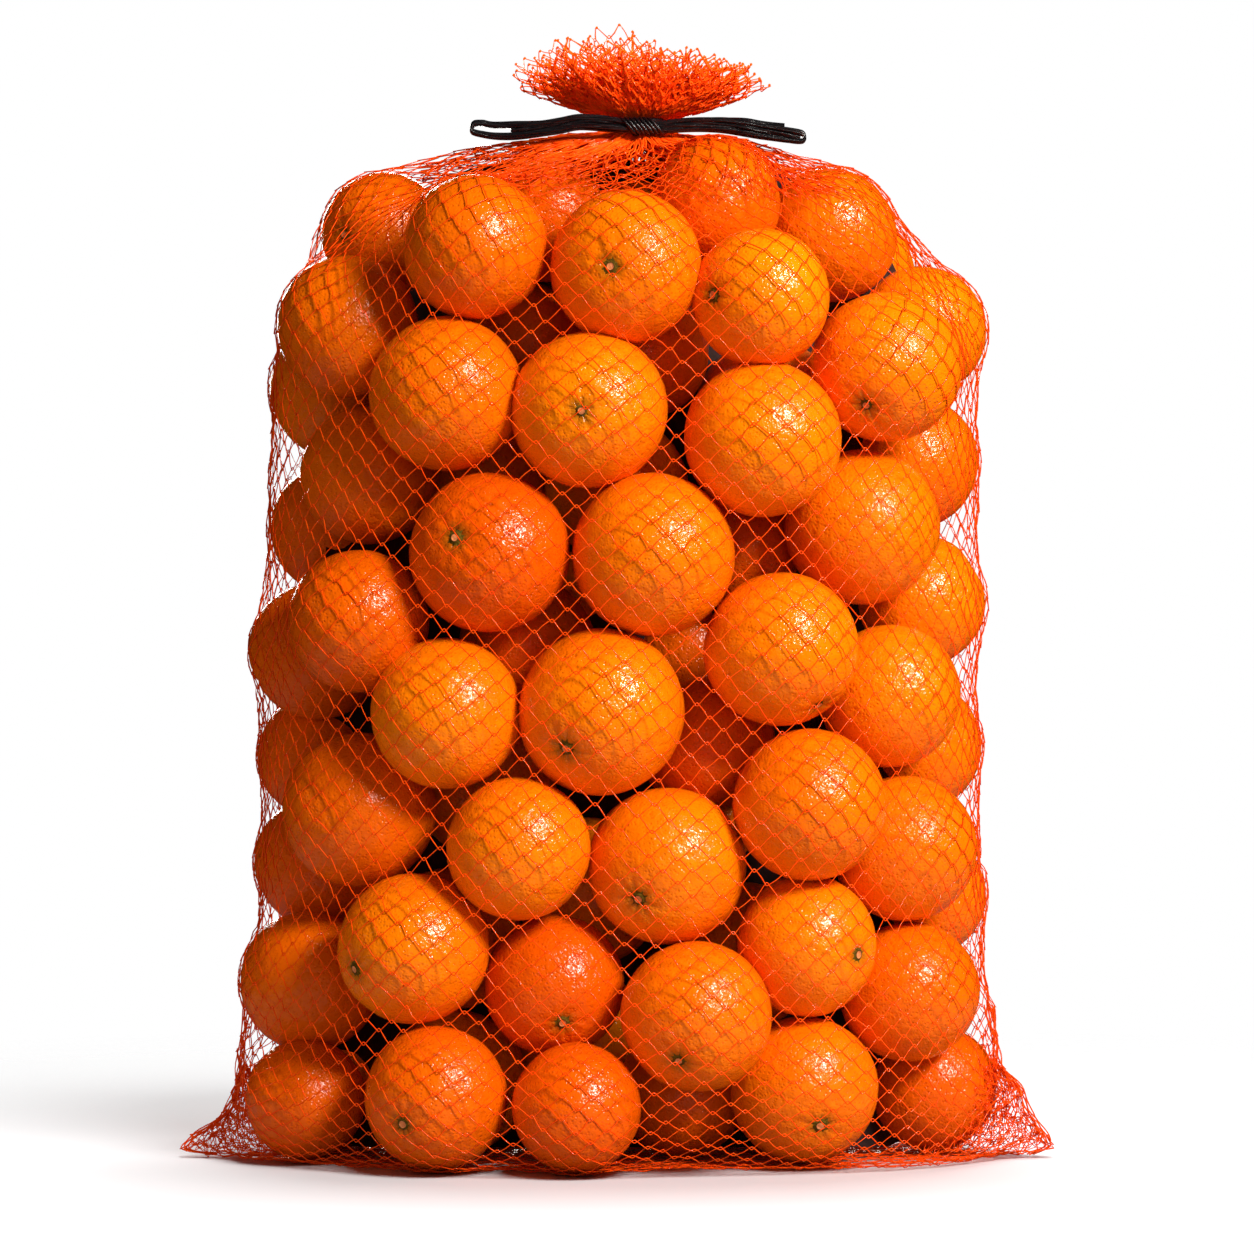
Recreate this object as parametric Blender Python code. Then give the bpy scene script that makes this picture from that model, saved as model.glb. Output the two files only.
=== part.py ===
"""Net of oranges: a tubular net sack, packed with oranges, gathered at the neck and tied.

Two solids. net_of_oranges is the net drawn tight over its fruit, from the seam ears on the floor
up to the gathered neck and the open ruff above it. tie is the bundle of black strands round the neck.
Metres, +Z up, the front faces -Y, and the origin is on the floor under the middle of the sack.
"""
import math

import bmesh
import bpy
import numpy as np

MM = 0.001

# The sack: the room inside the net, as half sizes of a rounded section.
SACK_HALF_WIDTH = 187 * MM
SACK_HALF_DEPTH = 116 * MM
SECTION_POWER = 2.6          # 2 is an ellipse, more is squarer
SHOULDER_START = 400 * MM    # height where the section starts to close in
SHOULDER_RISE = 130 * MM
SHOULDER_CLOSING = 0.5       # share of the depth lost at the top of that rise
CROWN_HEIGHT = 492 * MM      # the highest that hidden fruit reaches, at the middle
CROWN_SLOPE = 0.1            # and what that height loses per distance to the side
NET_SKIN = 1.0 * MM          # how far the net's outside stands off the fruit

# The net's grid of points: around the sack, and along it from the floor to the ruff.
AROUND = 72
BASE_SHARES = (0.2, 0.42, 0.62, 0.78, 0.9)
FLAT_SHARE = 0.8             # the part of the base that lies on the floor
SIDE_RINGS = 30
SIDE_TOP = 430 * MM
SIDE_CROWDING = 1.08         # over 1 sets the lowest rings closer together
SHOULDER_RINGS = 8
SHOULDER_ROUNDNESS = 0.8     # a lower power is a squarer shoulder
SHOULDER_TUCK = 14 * MM      # the shoulder's curve aims this far over the foot of the neck
LOOSE = 4 * MM               # how far the net starts outside the room
TIGHTEN_STEPS = 160
SMOOTH_STEPS = 8             # the last of those steps, in which the net no longer sinks
TIGHTEN_SHARE = 0.5          # how far a point goes towards its neighbours' mean in one step
SINK = 0.85 * MM             # how far the net sinks in between the fruit in one step
SINK_TOP = 440 * MM          # above this the net stays spread
SINK_FADE = 40 * MM          # and it sinks less over this height below it
VALLEY_DEPTH = 16 * MM       # the gaps between the fruit go this much deeper than the net across them
VALLEY_LOW = 12 * MM         # they start over this height, and reach their depth over the next one
VALLEY_RISE = 25 * MM
VALLEY_SMOOTH_STEPS = 4      # how often their walls are evened out
VALLEY_SMOOTH_SHARE = 0.35

# The neck, where the net is gathered, and the ruff above it.
NECK_ACROSS = 9 * MM
NECK_RADIUS = 7.5 * MM
NECK_LOW = 504.5 * MM
NECK_HIGH = 519.5 * MM
RUFF_HALF_WIDTH = 58 * MM
RUFF_HALF_DEPTH = 38 * MM
RUFF_RINGS = 6
RUFF_FLUTES = 10
RUFF_FLUTE_DEPTH = 0.1
RUFF_END_RISE = 18 * MM      # height of the rim over the neck at its left and right ends
RUFF_BACK_RISE = 24 * MM     # what the rim gains towards the back
RUFF_FRONT_RISE = 9 * MM     # and towards the front
RUFF_LEAN = 0.22             # how much more of that the left side gets
RUFF_CREST = 0.6             # a lower power carries the rim's height further round to its ends
RUFF_WAVER = 2 * MM          # and this is how far the rim wanders up and down
RUFF_OPENING = 0.85          # under 1 the ruff opens fast over the neck
RUFF_CURL = 1.25             # over 1 it rises late
RUFF_DISH = 0.25             # how far the middle of the ruff lies below its rim, as a share of its rise
DISH_SHARES = (0.66, 0.33)   # the rings of that middle, as shares of the rim's size

# The ears: the two ends of the bottom seam, which stand out past the fruit.
EAR_REACH = 26 * MM
EAR_HEIGHT = 46 * MM
EAR_TAPER = 1.15             # a higher power is a more hollow upper edge
EAR_SHARPNESS = 80           # a higher power is a narrower ear
EAR_THINNING = 0.9
EAR_UNDERSIDE = 5            # how fast the ear narrows to the middle of the base
EAR_HELD_SHARE = 0.1         # points with more of the ear than this are held in place
BASE_HELD_SHARE = 0.15

# The tie: a wrap round the neck, and two tails of two runs each. The left tail ends in a loop.
TIE_HEIGHT = 512 * MM
TIE_FORWARD = 14.5 * MM
STRAND_RADIUS = 2.9 * MM
WRAP_RADIUS = 12.2 * MM
WRAP_THICKNESS = 4.0 * MM

# Fruit that shows: across, up, radius, and how far it is set back from the near face of the net,
# all in millimetres, in courses from the floor up. The last courses are a layer further in.
SHOWN_FRUIT = (
    (-156, 31, 30, 0), (-90, 36, 35, 0), (-22, 32.5, 31.5, 0), (30, 34, 33, 30), (89, 38, 36, 0),
    (156, 33, 32, 18), (-155, 88, 35, 6), (-101, 108, 37, 0), (-33, 89, 35, 8), (36, 76, 37, 0),
    (90, 109, 34.5, 10), (142, 84, 35, 4), (-129, 174, 38, 10), (-50, 157, 35, 8), (22, 148, 39, 0),
    (91, 178, 37, 0), (139, 155, 36, 12), (-85, 222, 37, 0), (-10, 223, 41, 0), (77, 253, 38, 0),
    (132, 230, 35.5, 14), (-128, 267, 34.5, 10), (-64, 300, 39, 2), (15, 299, 40, 0),
    (118, 313, 38.5, 8), (-125, 339, 34.5, 16), (-85, 377, 38, 0), (-16, 369, 38, 0),
    (68, 355, 38, 0), (129, 391, 37, 8), (-135, 412, 35, 8), (-71, 448, 35.5, 0), (2, 438, 37, 0),
    (67, 423, 34, 0),
    (-151, 145, 34, 34), (152, 129, 32, 50), (-152, 252, 34, 40), (149, 277, 34, 46),
    (-144, 314, 34, 55), (146, 347, 34, 50), (-151, 199, 33, 50), (149, 204, 33, 54),
    (150, 412, 33, 50), (58, 303, 32, 52), (42, 206, 34, 44), (-47, 255, 34, 52), (34, 250, 33, 72),
    (11, 400, 33, 60), (-48, 404, 33, 64), (-119, 460, 32, 62), (-38, 466, 31, 45),
    (46, 472, 33, 40), (103, 459, 34, 44),
    (6, 464, 30, 88),
)
SHOWN_GIVE = 0.35            # how readily shown fruit moves back when hidden fruit presses on it
HIDDEN_LAYERS = (78 * MM, 10 * MM)
HIDDEN_COURSES = 7
HIDDEN_SPACING = 72 * MM
HIDDEN_COURSE_STEP = 66 * MM
HIDDEN_WANDER = 5 * MM
HIDDEN_RADIUS = (34 * MM, 39 * MM)
SETTLE_STEPS = 200
SQUEEZE = 3 * MM             # hidden fruit pressed closer than this is left out
PRESS_SHARE = 0.8            # how much of an overlap is undone in one step
RETURN_SHARE = 0.7           # how much of a way back into the sack is made in one step
DROP = 0.2 * MM              # how far hidden fruit settles in one step
SEED = 5


def room_for(up, radius):
    """The half sizes of the section that a fruit's centre can reach at a height."""
    closing = np.clip((up - SHOULDER_START) / SHOULDER_RISE, 0, 1) ** 2
    return SACK_HALF_WIDTH - radius, (SACK_HALF_DEPTH - radius) * (1 - SHOULDER_CLOSING * closing)


def shown_fruit():
    """The fruit that shows, each laid against the near face of the net and then set back."""
    for across, up, radius, back in (np.array(row) * MM for row in SHOWN_FRUIT):
        wide, deep = room_for(up, radius)
        share = min(1.0, abs(across) / wide)
        yield across, back - deep * (1 - share**SECTION_POWER) ** (1 / SECTION_POWER), up, radius


def hidden_fruit():
    """Staggered courses of fruit for the far face and the middle, a little uneven."""
    rng = np.random.default_rng(SEED)
    for layer, away in enumerate(HIDDEN_LAYERS):
        for course in range(HIDDEN_COURSES):
            count = 5 - (course + layer) % 2
            for i in range(count):
                across = (i - (count - 1) / 2) * HIDDEN_SPACING + rng.uniform(-1, 1) * HIDDEN_WANDER
                up = HIDDEN_RADIUS[1] + course * HIDDEN_COURSE_STEP + rng.uniform(-1, 1) * HIDDEN_WANDER
                yield across, away, up, rng.uniform(*HIDDEN_RADIUS)


def press_apart(fruit, give, steps):
    """Moves fruit off its neighbours and into the sack. Returns how far each pair is still pressed in."""
    radius, centre = fruit[:, 3], fruit[:, :3]
    others = 1 - np.eye(len(fruit))
    ease = give.mean(axis=1)
    share = ease[:, None] / (ease[:, None] + ease[None])
    hidden = give[:, 2] == 1
    for _ in range(steps):
        apart = centre[:, None] - centre[None]
        distance = np.linalg.norm(apart, axis=2) + np.eye(len(fruit))
        pressed = np.clip(radius[:, None] + radius[None] - distance, 0, None) * others
        centre += PRESS_SHARE * ((pressed * share / distance)[..., None] * apart).sum(axis=1) * give
        wide, deep = room_for(centre[:, 2], radius)
        flat = centre[:, :2] / np.stack([wide, deep], axis=1)
        size = (np.abs(flat) ** SECTION_POWER).sum(axis=1) ** (1 / SECTION_POWER)
        slope = np.sign(flat) * np.abs(flat) ** (SECTION_POWER - 1) / np.stack([wide, deep], axis=1)
        back_in = np.clip(size - 1, 0, None) / (slope**2).sum(axis=1).clip(1e-6)
        centre[:, :2] -= RETURN_SHARE * back_in[:, None] * slope * (give[:, :2] > 0)
        crown = CROWN_HEIGHT - radius - CROWN_SLOPE * np.abs(centre[:, 0])
        lowered = np.clip(centre[:, 2] - DROP, radius + NET_SKIN, crown)
        centre[:, 2] = np.where(hidden, lowered, centre[:, 2])
    return pressed


def packed_fruit():
    """Every orange in the sack, as rows of x, y, z and radius in metres."""
    shown = list(shown_fruit())
    fruit = np.array(shown + list(hidden_fruit()))
    give = np.ones((len(fruit), 3))
    give[: len(shown)] = (0, SHOWN_GIVE, 0)
    pressed = press_apart(fruit, give, SETTLE_STEPS)
    while (pressed[len(shown):] > SQUEEZE).any():
        tightest = len(shown) + pressed[len(shown):].sum(axis=1).argmax()
        fruit = np.delete(fruit, tightest, axis=0)
        give = np.delete(give, tightest, axis=0)
        pressed = press_apart(fruit, give, SETTLE_STEPS // 5)
    press_apart(fruit, give, SETTLE_STEPS)
    return fruit


def section(angle, half_width, half_depth):
    """A ring of the sack's rounded cross-section, at angles in radians."""
    c, s = np.cos(angle), np.sin(angle)
    power = 2 / SECTION_POWER
    return half_width * np.sign(c) * np.abs(c) ** power, half_depth * np.sign(s) * np.abs(s) ** power


def push_off(points, fruit):
    """Moves each point that is inside a fruit straight out to the net's skin over it."""
    apart = points[:, None, :] - fruit[None, :, :3]
    distance = np.linalg.norm(apart, axis=2)
    depth = fruit[None, :, 3] + NET_SKIN - distance
    deepest = depth.argmax(axis=1)
    rows = np.arange(len(points))
    inside = depth[rows, deepest] > 0
    hit = deepest[inside]
    along = apart[rows[inside], hit] / distance[rows[inside], hit][:, None]
    points[inside] = fruit[hit, :3] + along * (fruit[hit, 3] + NET_SKIN)[:, None]
    return points


def ear_share(angle, up):
    """How much of the ear a point of the section takes: 1 at the tip of the seam, 0 away from it."""
    return np.abs(np.cos(angle)) ** EAR_SHARPNESS * np.clip(1 - up / EAR_HEIGHT, 0, 1) ** EAR_TAPER


def sack_ring(angle, share, up, ear):
    """One ring of the loose sack, with its ears drawn out along the seam."""
    x, y = section(angle, (SACK_HALF_WIDTH + LOOSE) * share, (SACK_HALF_DEPTH + LOOSE) * share)
    x = x + np.sign(x) * EAR_REACH * ear
    return np.stack([x, y * (1 - EAR_THINNING * ear), 0 * x + up], axis=1)


def sack_rings(angle):
    """The rings of the loose sack, floor to shoulder, and whether each point is held in place."""
    rings, held = [], []
    for share in BASE_SHARES:
        ear = ear_share(angle, 0) * share**EAR_UNDERSIDE
        rings.append(sack_ring(angle, share, 0, ear))
        held.append(np.full(AROUND, share < FLAT_SHARE) | (ear > BASE_HELD_SHARE))
    for i in range(SIDE_RINGS):
        up = SIDE_TOP * (i / (SIDE_RINGS - 1)) ** SIDE_CROWDING
        ear = ear_share(angle, up)
        rings.append(sack_ring(angle, 1, up + NET_SKIN, ear))
        held.append(ear > EAR_HELD_SHARE)
    for i in range(1, SHOULDER_RINGS + 1):
        turn = math.pi / 2 * i / (SHOULDER_RINGS + 1)
        share = math.cos(turn) ** SHOULDER_ROUNDNESS
        up = SIDE_TOP + (NECK_LOW + SHOULDER_TUCK - SIDE_TOP) * math.sin(turn)
        ring = sack_ring(angle, share, up, 0)
        rings.append(ring + (NECK_ACROSS * (1 - share), 0, 0))
        held.append(np.zeros(AROUND, bool))
    return rings, held


def ruff_rise(angle):
    """Height of the ruff's rim over the neck: low at its ends, higher behind than in front."""
    s = np.sin(angle)
    lean = np.where(s > 0, RUFF_BACK_RISE, RUFF_FRONT_RISE) * np.abs(s) ** RUFF_CREST
    return RUFF_END_RISE + lean * (1 - RUFF_LEAN * np.cos(angle)) + RUFF_WAVER * np.cos(3 * angle + 0.5)


def neck_and_ruff_rings(angle):
    """The gathered neck, and the fluted ruff from the neck out to its rim and in over its top."""
    rise, flute = ruff_rise(angle), np.cos(RUFF_FLUTES * angle)

    def ring(half_width, half_depth, up):
        return np.stack([NECK_ACROSS + half_width * np.cos(angle), half_depth * np.sin(angle),
                         0 * angle + up], axis=1)

    rings = [ring(NECK_RADIUS, NECK_RADIUS, up) for up in (NECK_LOW, NECK_HIGH)]
    for i in range(1, RUFF_RINGS + 1):
        t = i / RUFF_RINGS
        swell = 1 + RUFF_FLUTE_DEPTH * t * flute
        wide = NECK_RADIUS + (RUFF_HALF_WIDTH - NECK_RADIUS) * t**RUFF_OPENING
        deep = NECK_RADIUS + (RUFF_HALF_DEPTH - NECK_RADIUS) * t**RUFF_OPENING
        rings.append(ring(wide * swell, deep * swell, NECK_HIGH + rise * t**RUFF_CURL))
    for share in DISH_SHARES:
        dish = 1 - RUFF_DISH * (1 - share)
        level = rise * share + rise.mean() * (1 - share)
        rings.append(ring(RUFF_HALF_WIDTH * share, RUFF_HALF_DEPTH * share, NECK_HIGH + level * dish))
    return rings


def inward_normals(grid):
    """Unit vectors into the sack at every ring but the first and the last."""
    around = np.roll(grid, -1, axis=1) - np.roll(grid, 1, axis=1)
    inward = np.cross(grid[2:] - grid[:-2], around[1:-1])
    return inward / np.linalg.norm(inward, axis=2, keepdims=True).clip(1e-9)


def drawn_tight(grid, held, fruit):
    """Shrinks the loose net onto the fruit, so that it spans the gaps and sinks a little into them."""
    free = ~held
    for i in range(TIGHTEN_STEPS):
        mean = (np.roll(grid, 1, axis=1) + np.roll(grid, -1, axis=1))[1:-1] + grid[:-2] + grid[2:]
        inward = inward_normals(grid)
        sink = SINK * np.clip((SINK_TOP - grid[1:-1, :, 2:]) / SINK_FADE, 0, 1)
        if i >= TIGHTEN_STEPS - SMOOTH_STEPS:
            sink = 0
        step = grid.copy()
        step[1:-1] += TIGHTEN_SHARE * (mean / 4 - grid[1:-1]) + sink * inward
        grid[free] = push_off(step[free], fruit)
        grid[..., 2] = np.maximum(grid[..., 2], 0)
    return grid


def way_to_fruit(points, along, fruit):
    """How far each point can go along its direction before it meets a fruit."""
    offset = fruit[None, :, :3] - points[:, None, :]
    ahead = (offset * along[:, None, :]).sum(axis=2)
    aside = (offset**2).sum(axis=2) - ahead**2
    reach = (fruit[None, :, 3] + NET_SKIN) ** 2 - aside
    meets = (reach > 0) & (ahead > 0)
    way = np.where(meets, ahead - np.sqrt(reach.clip(0)), VALLEY_DEPTH)
    return way.min(axis=1).clip(0, VALLEY_DEPTH)


def sunk_between(grid, held, fruit):
    """Deepens the gaps between the fruit, which the real net only spans with thin strands."""
    inward = inward_normals(grid)
    inner = grid[1:-1]
    way = way_to_fruit(inner.reshape(-1, 3), inward.reshape(-1, 3), fruit).reshape(inner.shape[:2])
    height = inner[..., 2]
    fade = np.clip((height - VALLEY_LOW) / VALLEY_RISE, 0, 1) * np.clip((SINK_TOP - height) / SINK_FADE, 0, 1)
    way = np.where(held[1:-1], 0, way * fade)
    grid[1:-1] += inward * way[..., None]
    share = VALLEY_SMOOTH_SHARE * np.where(held[1:-1], 0, fade)[..., None]
    for _ in range(VALLEY_SMOOTH_STEPS):
        mean = (np.roll(grid, 1, axis=1) + np.roll(grid, -1, axis=1))[1:-1] + grid[:-2] + grid[2:]
        moved = grid[1:-1] + share * (mean / 4 - grid[1:-1])
        grid[1:-1] = push_off(moved.reshape(-1, 3), fruit).reshape(moved.shape)
    grid[..., 2] = np.maximum(grid[..., 2], 0)
    return grid


def material(name, colour, roughness):
    """A plain Principled material."""
    made = bpy.data.materials.new(name)
    made.use_nodes = True
    shader = made.node_tree.nodes["Principled BSDF"]
    shader.inputs["Base Color"].default_value = (*colour, 1)
    shader.inputs["Roughness"].default_value = roughness
    shader.inputs["Metallic"].default_value = 0
    return made


def make_net(fruit, collection):
    """The filled net, shaped from one sphere whose rings become the rings of the sack."""
    angle = np.arange(AROUND) * 2 * math.pi / AROUND
    sack, held = sack_rings(angle)
    top = neck_and_ruff_rings(angle)
    grid = np.array(sack + top[:1])
    fixed = np.array(held + [np.ones(AROUND, bool)])
    fixed[0] = True
    drawn = sunk_between(drawn_tight(grid, fixed, fruit), fixed, fruit)
    rings = np.concatenate([drawn, np.array(top[1:])])

    bm = bmesh.new()
    bmesh.ops.create_uvsphere(bm, u_segments=AROUND, v_segments=len(rings) + 1, radius=1)
    for vert in bm.verts:
        level = round(math.acos(max(-1, min(1, -vert.co.z))) / math.pi * (len(rings) + 1))
        if level == 0:
            vert.co = (0, 0, 0)
        elif level > len(rings):
            vert.co = rings[-1].mean(axis=0)
        else:
            turn = math.atan2(vert.co.y, vert.co.x) / (2 * math.pi)
            vert.co = rings[level - 1][round(turn * AROUND) % AROUND]
    mesh = bpy.data.meshes.new("net_of_oranges")
    bm.to_mesh(mesh)
    bm.free()
    mesh.shade_smooth()
    mesh.materials.append(material("net_and_fruit", (0.86, 0.19, 0.02), 0.45))
    net = bpy.data.objects.new("net_of_oranges", mesh)
    collection.objects.link(net)
    return net


def strand_run(name, points, radius, collection):
    """A round run of strands through the given points, as a mesh with welded caps."""
    curve = bpy.data.curves.new(name, "CURVE")
    curve.dimensions = "3D"
    curve.bevel_depth = radius
    curve.bevel_resolution = 2
    curve.resolution_u = 3
    curve.use_fill_caps = True
    spline = curve.splines.new("NURBS")
    spline.points.add(len(points) - 1)
    for point, place in zip(spline.points, points):
        point.co = (*place, 1)
    spline.order_u = 3
    spline.use_endpoint_u = True
    guide = bpy.data.objects.new(name + "_route", curve)
    collection.objects.link(guide)
    bpy.context.view_layer.update()
    mesh = bpy.data.meshes.new_from_object(guide.evaluated_get(bpy.context.evaluated_depsgraph_get()))
    bm = bmesh.new()
    bm.from_mesh(mesh)
    bmesh.ops.remove_doubles(bm, verts=bm.verts, dist=0.00001)
    bmesh.ops.recalc_face_normals(bm, faces=bm.faces)
    bm.to_mesh(mesh)
    bm.free()
    run = bpy.data.objects.new(name, mesh)
    run.matrix_world = guide.matrix_world
    bpy.data.objects.remove(guide)
    collection.objects.link(run)
    return run


def tie_routes():
    """The runs of the two tails, as (name, points). Offsets are from the neck's axis at the tie's height."""
    def at(across, up, forward=TIE_FORWARD):
        return (NECK_ACROSS + across * MM, -forward, TIE_HEIGHT + up * MM)

    half = 2.2
    left = (0, 0), (-22, 2), (-42, 2.4), (-58, 0.5), (-70, -0.5)
    right = (0, 0), (28, 0.5), (50, 0.5), (68, -2), (80, -5)
    upper_end = [at(-79, 3.2), at(-85.5, 2.6), at(-86, -1.0)]
    lower_end = [at(-80, -3.8), at(-86.5, -3.0), at(-86, 1.0)]
    yield "tie_left_upper", [at(x, z + half) for x, z in left] + upper_end
    yield "tie_left_lower", [at(x, z - half) for x, z in left] + lower_end
    yield "tie_right_upper", [at(x, z + half) for x, z in right]
    yield "tie_right_lower", [at(x, z - half) for x, z in right]


def make_tie(collection, helpers):
    """The wrap round the neck, joined with the tails that come off its front."""
    bpy.ops.mesh.primitive_torus_add(major_segments=36, minor_segments=10, major_radius=WRAP_RADIUS,
                                     minor_radius=WRAP_THICKNESS, location=(NECK_ACROSS, 0, TIE_HEIGHT))
    tie = bpy.context.object
    tie.name = "tie"
    tie.scale.z = 1.3
    bpy.ops.object.transform_apply(location=False, rotation=False, scale=True)
    for name, points in tie_routes():
        run = strand_run(name, points, STRAND_RADIUS, helpers)
        run.hide_render = True
        run.display_type = "WIRE"
        join = tie.modifiers.new(name, "BOOLEAN")
        join.operation = "UNION"
        join.object = run
    for other in list(tie.users_collection):
        other.objects.unlink(tie)
    collection.objects.link(tie)
    tie.data.shade_smooth()
    tie.data.materials.append(material("black_plastic", (0.012, 0.012, 0.014), 0.3))
    return tie


def main():
    for obj in list(bpy.data.objects):
        bpy.data.objects.remove(obj)
    parts = bpy.data.collections.new("net_of_oranges")
    helpers = bpy.data.collections.new("tie_runs")
    for made in (parts, helpers):
        bpy.context.scene.collection.children.link(made)
    fruit = packed_fruit()
    litres = 4 / 3 * math.pi * 1000 * (fruit[:, 3] ** 3).sum()
    print(f"{len(fruit)} oranges, {litres:.1f} litres")
    make_net(fruit, parts)
    make_tie(parts, helpers)


main()
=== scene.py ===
# %% [markdown]
# # A net of oranges
#
# A tubular net sack is packed with oranges, gathered at the neck and closed with black plastic strands.
# The CAD part holds a plain solid for the filled net and one for the tie. This lesson replaces both with
# the real things: every orange, the net knot by knot, and the strands of the tie.
# Metres, +Z up, the front faces -Y, and the origin is on the floor under the middle of the sack.

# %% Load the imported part
import math
from contextlib import contextmanager

import bpy
import numpy as np
from mathutils import Matrix, Vector


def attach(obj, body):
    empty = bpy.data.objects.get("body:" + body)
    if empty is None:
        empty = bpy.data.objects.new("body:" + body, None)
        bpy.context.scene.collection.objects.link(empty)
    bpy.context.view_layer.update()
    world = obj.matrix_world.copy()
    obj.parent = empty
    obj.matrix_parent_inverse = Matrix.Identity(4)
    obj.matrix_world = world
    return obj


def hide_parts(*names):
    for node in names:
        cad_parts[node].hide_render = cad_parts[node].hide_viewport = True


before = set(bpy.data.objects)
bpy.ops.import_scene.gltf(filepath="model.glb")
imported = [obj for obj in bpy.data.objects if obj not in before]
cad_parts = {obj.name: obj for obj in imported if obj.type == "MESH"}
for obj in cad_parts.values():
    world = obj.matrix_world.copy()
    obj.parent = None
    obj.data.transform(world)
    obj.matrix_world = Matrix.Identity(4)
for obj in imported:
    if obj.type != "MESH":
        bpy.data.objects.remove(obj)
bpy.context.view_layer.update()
MM = 0.001

# %% [markdown]
# ## Small helpers
#
# An operator acts on whatever is selected, so each step first selects just the object it works on. A
# finished piece keeps its place in its mesh, with the object at the origin, and rides on the only body.

# %% Helpers for selecting, applying and handing in pieces
def choose(*objects):
    """Selects these objects alone. The last becomes the active one."""
    bpy.ops.object.select_all(action="DESELECT")
    for obj in objects:
        obj.select_set(True)
    bpy.context.view_layer.objects.active = objects[-1]


def pick(obj, chosen):
    """Selects the vertices that a boolean array marks, ready for edit mode."""
    mesh = obj.data
    mesh.polygons.foreach_set("select", np.zeros(len(mesh.polygons), bool))
    mesh.edges.foreach_set("select", np.zeros(len(mesh.edges), bool))
    mesh.vertices.foreach_set("select", chosen)


def points_of(mesh):
    """The vertices of a mesh as an array of rows."""
    flat = np.zeros(len(mesh.vertices) * 3)
    mesh.vertices.foreach_get("co", flat)
    return flat.reshape(-1, 3)


def fresh(name, add, **values):
    """A new object, made by an operator with nothing else selected."""
    bpy.ops.object.select_all(action="DESELECT")
    add(**values)
    made = bpy.context.object
    made.name = made.data.name = name
    return made


@contextmanager
def edit_mode():
    """Edit mode for as long as the indented lines last."""
    bpy.ops.object.mode_set(mode="EDIT")
    yield
    bpy.ops.object.mode_set(mode="OBJECT")


def copy_of(obj):
    """A copy of an object, with a mesh of its own."""
    copy = obj.copy()
    copy.data = obj.data.copy()
    bpy.context.scene.collection.objects.link(copy)
    return copy


def joined(name, *objects):
    """Joins objects into one, and names it."""
    choose(*objects)
    bpy.ops.object.join()
    whole = bpy.context.object
    whole.name = whole.data.name = name
    return whole


def hand_in(piece, replaced, material):
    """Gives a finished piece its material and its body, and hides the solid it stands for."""
    piece.data.materials.clear()
    piece.data.materials.append(material)
    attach(piece, "root")
    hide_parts(replaced)
    print(piece.name, sum(len(face.vertices) - 2 for face in piece.data.polygons), "triangles")


# %% [markdown]
# ## Floor, light and camera
#
# The object stands on a white sweep. Instead of a backdrop, a round patch of floor fades out into a
# white world, so the sack keeps its contact shadow and nothing else shows. The world is bright for the
# camera and dim as a light, because a bright room would wash out the peel's colour. A round softbox at
# the right front does most of the modelling, with a broad weak one further to the right. Weaker ones
# fill in the left and the front, and one lights the back. The floor has two lamps of its own,
# linked to it alone: one gives the short soft shadow to the left, the other the dark line of contact.
# For the same reason it is white for the camera, grey for the light it throws back and nearly black in
# reflections.

# %% Camera
camera_data = bpy.data.cameras.new("camera")
camera_data.lens = 144
camera_data.sensor_width = 36
camera_data.clip_end = 50
camera = bpy.data.objects.new("camera", camera_data)
camera.location = (0.0025, -2.5, 0.264)
camera.rotation_euler = (math.radians(90), 0, 0)
bpy.context.scene.collection.objects.link(camera)
bpy.context.scene.camera = camera
bpy.context.scene.view_settings.view_transform = "Standard"

# %% Light
AIM = Vector((0, 0, 0.27))   # the middle of the sack
WARM = (1, 0.95, 0.88)


def softbox(name, place, size, power, shines=False):
    """A round area light aimed at the sack. Only one that shines shows in reflections."""
    light = bpy.data.lights.new(name, "AREA")
    light.shape = "DISK"
    light.size = size
    light.energy = power
    lamp = bpy.data.objects.new(name, light)
    lamp.location = place
    lamp.rotation_euler = (Vector(place) - AIM).to_track_quat("Z", "Y").to_euler()
    lamp.visible_glossy = shines
    bpy.context.scene.collection.objects.link(lamp)
    return lamp


lamps = [softbox("key_light", (1.45, -1.75, 1.62), 0.7, 112, shines=True),
         softbox("side_light", (2.0, -0.6, 1.9), 1.2, 14),
         softbox("left_light", (-2.3, -0.8, 0.6), 1.4, 10),
         softbox("front_light", (0.2, -2.9, 0.5), 1.4, 6),
         softbox("back_light", (-0.3, 3.0, 0.8), 1.2, 60, shines=True)]
for lamp in lamps:
    lamp.data.color = WARM

# %% Helpers for node trees
def node(tree, kind, **values):
    """Adds a node and sets its inputs and properties by name."""
    made = tree.nodes.new(kind)
    for key, value in values.items():
        if key in made.inputs:
            made.inputs[key].default_value = value
        else:
            setattr(made, key, value)
    return made


def feed(tree, socket, value):
    """Links a socket to another, or sets it to a number or a colour."""
    if isinstance(value, bpy.types.NodeSocket):
        tree.links.new(value, socket)
    else:
        socket.default_value = value if isinstance(value, float) else (*value, 1)


def new_material(name):
    """A material with its tree, its shader and the Object coordinate."""
    made = bpy.data.materials.new(name)
    made.use_nodes = True
    tree = made.node_tree
    return made, tree, tree.nodes["Principled BSDF"], node(tree, "ShaderNodeTexCoord").outputs["Object"]


def mix_colour(tree, mask, first, second, kind="MIX"):
    """Mixes two colours by a mask."""
    made = node(tree, "ShaderNodeMix", data_type="RGBA", blend_type=kind)
    for i, value in ((0, mask), (6, first), (7, second)):
        feed(tree, made.inputs[i], value)
    return made.outputs[2]


def mix_shader(tree, mask, first, second):
    """Mixes two shaders by a mask."""
    made = node(tree, "ShaderNodeMixShader")
    for i, value in enumerate((mask, first, second)):
        feed(tree, made.inputs[i], value)
    return made.outputs["Shader"]


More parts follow.
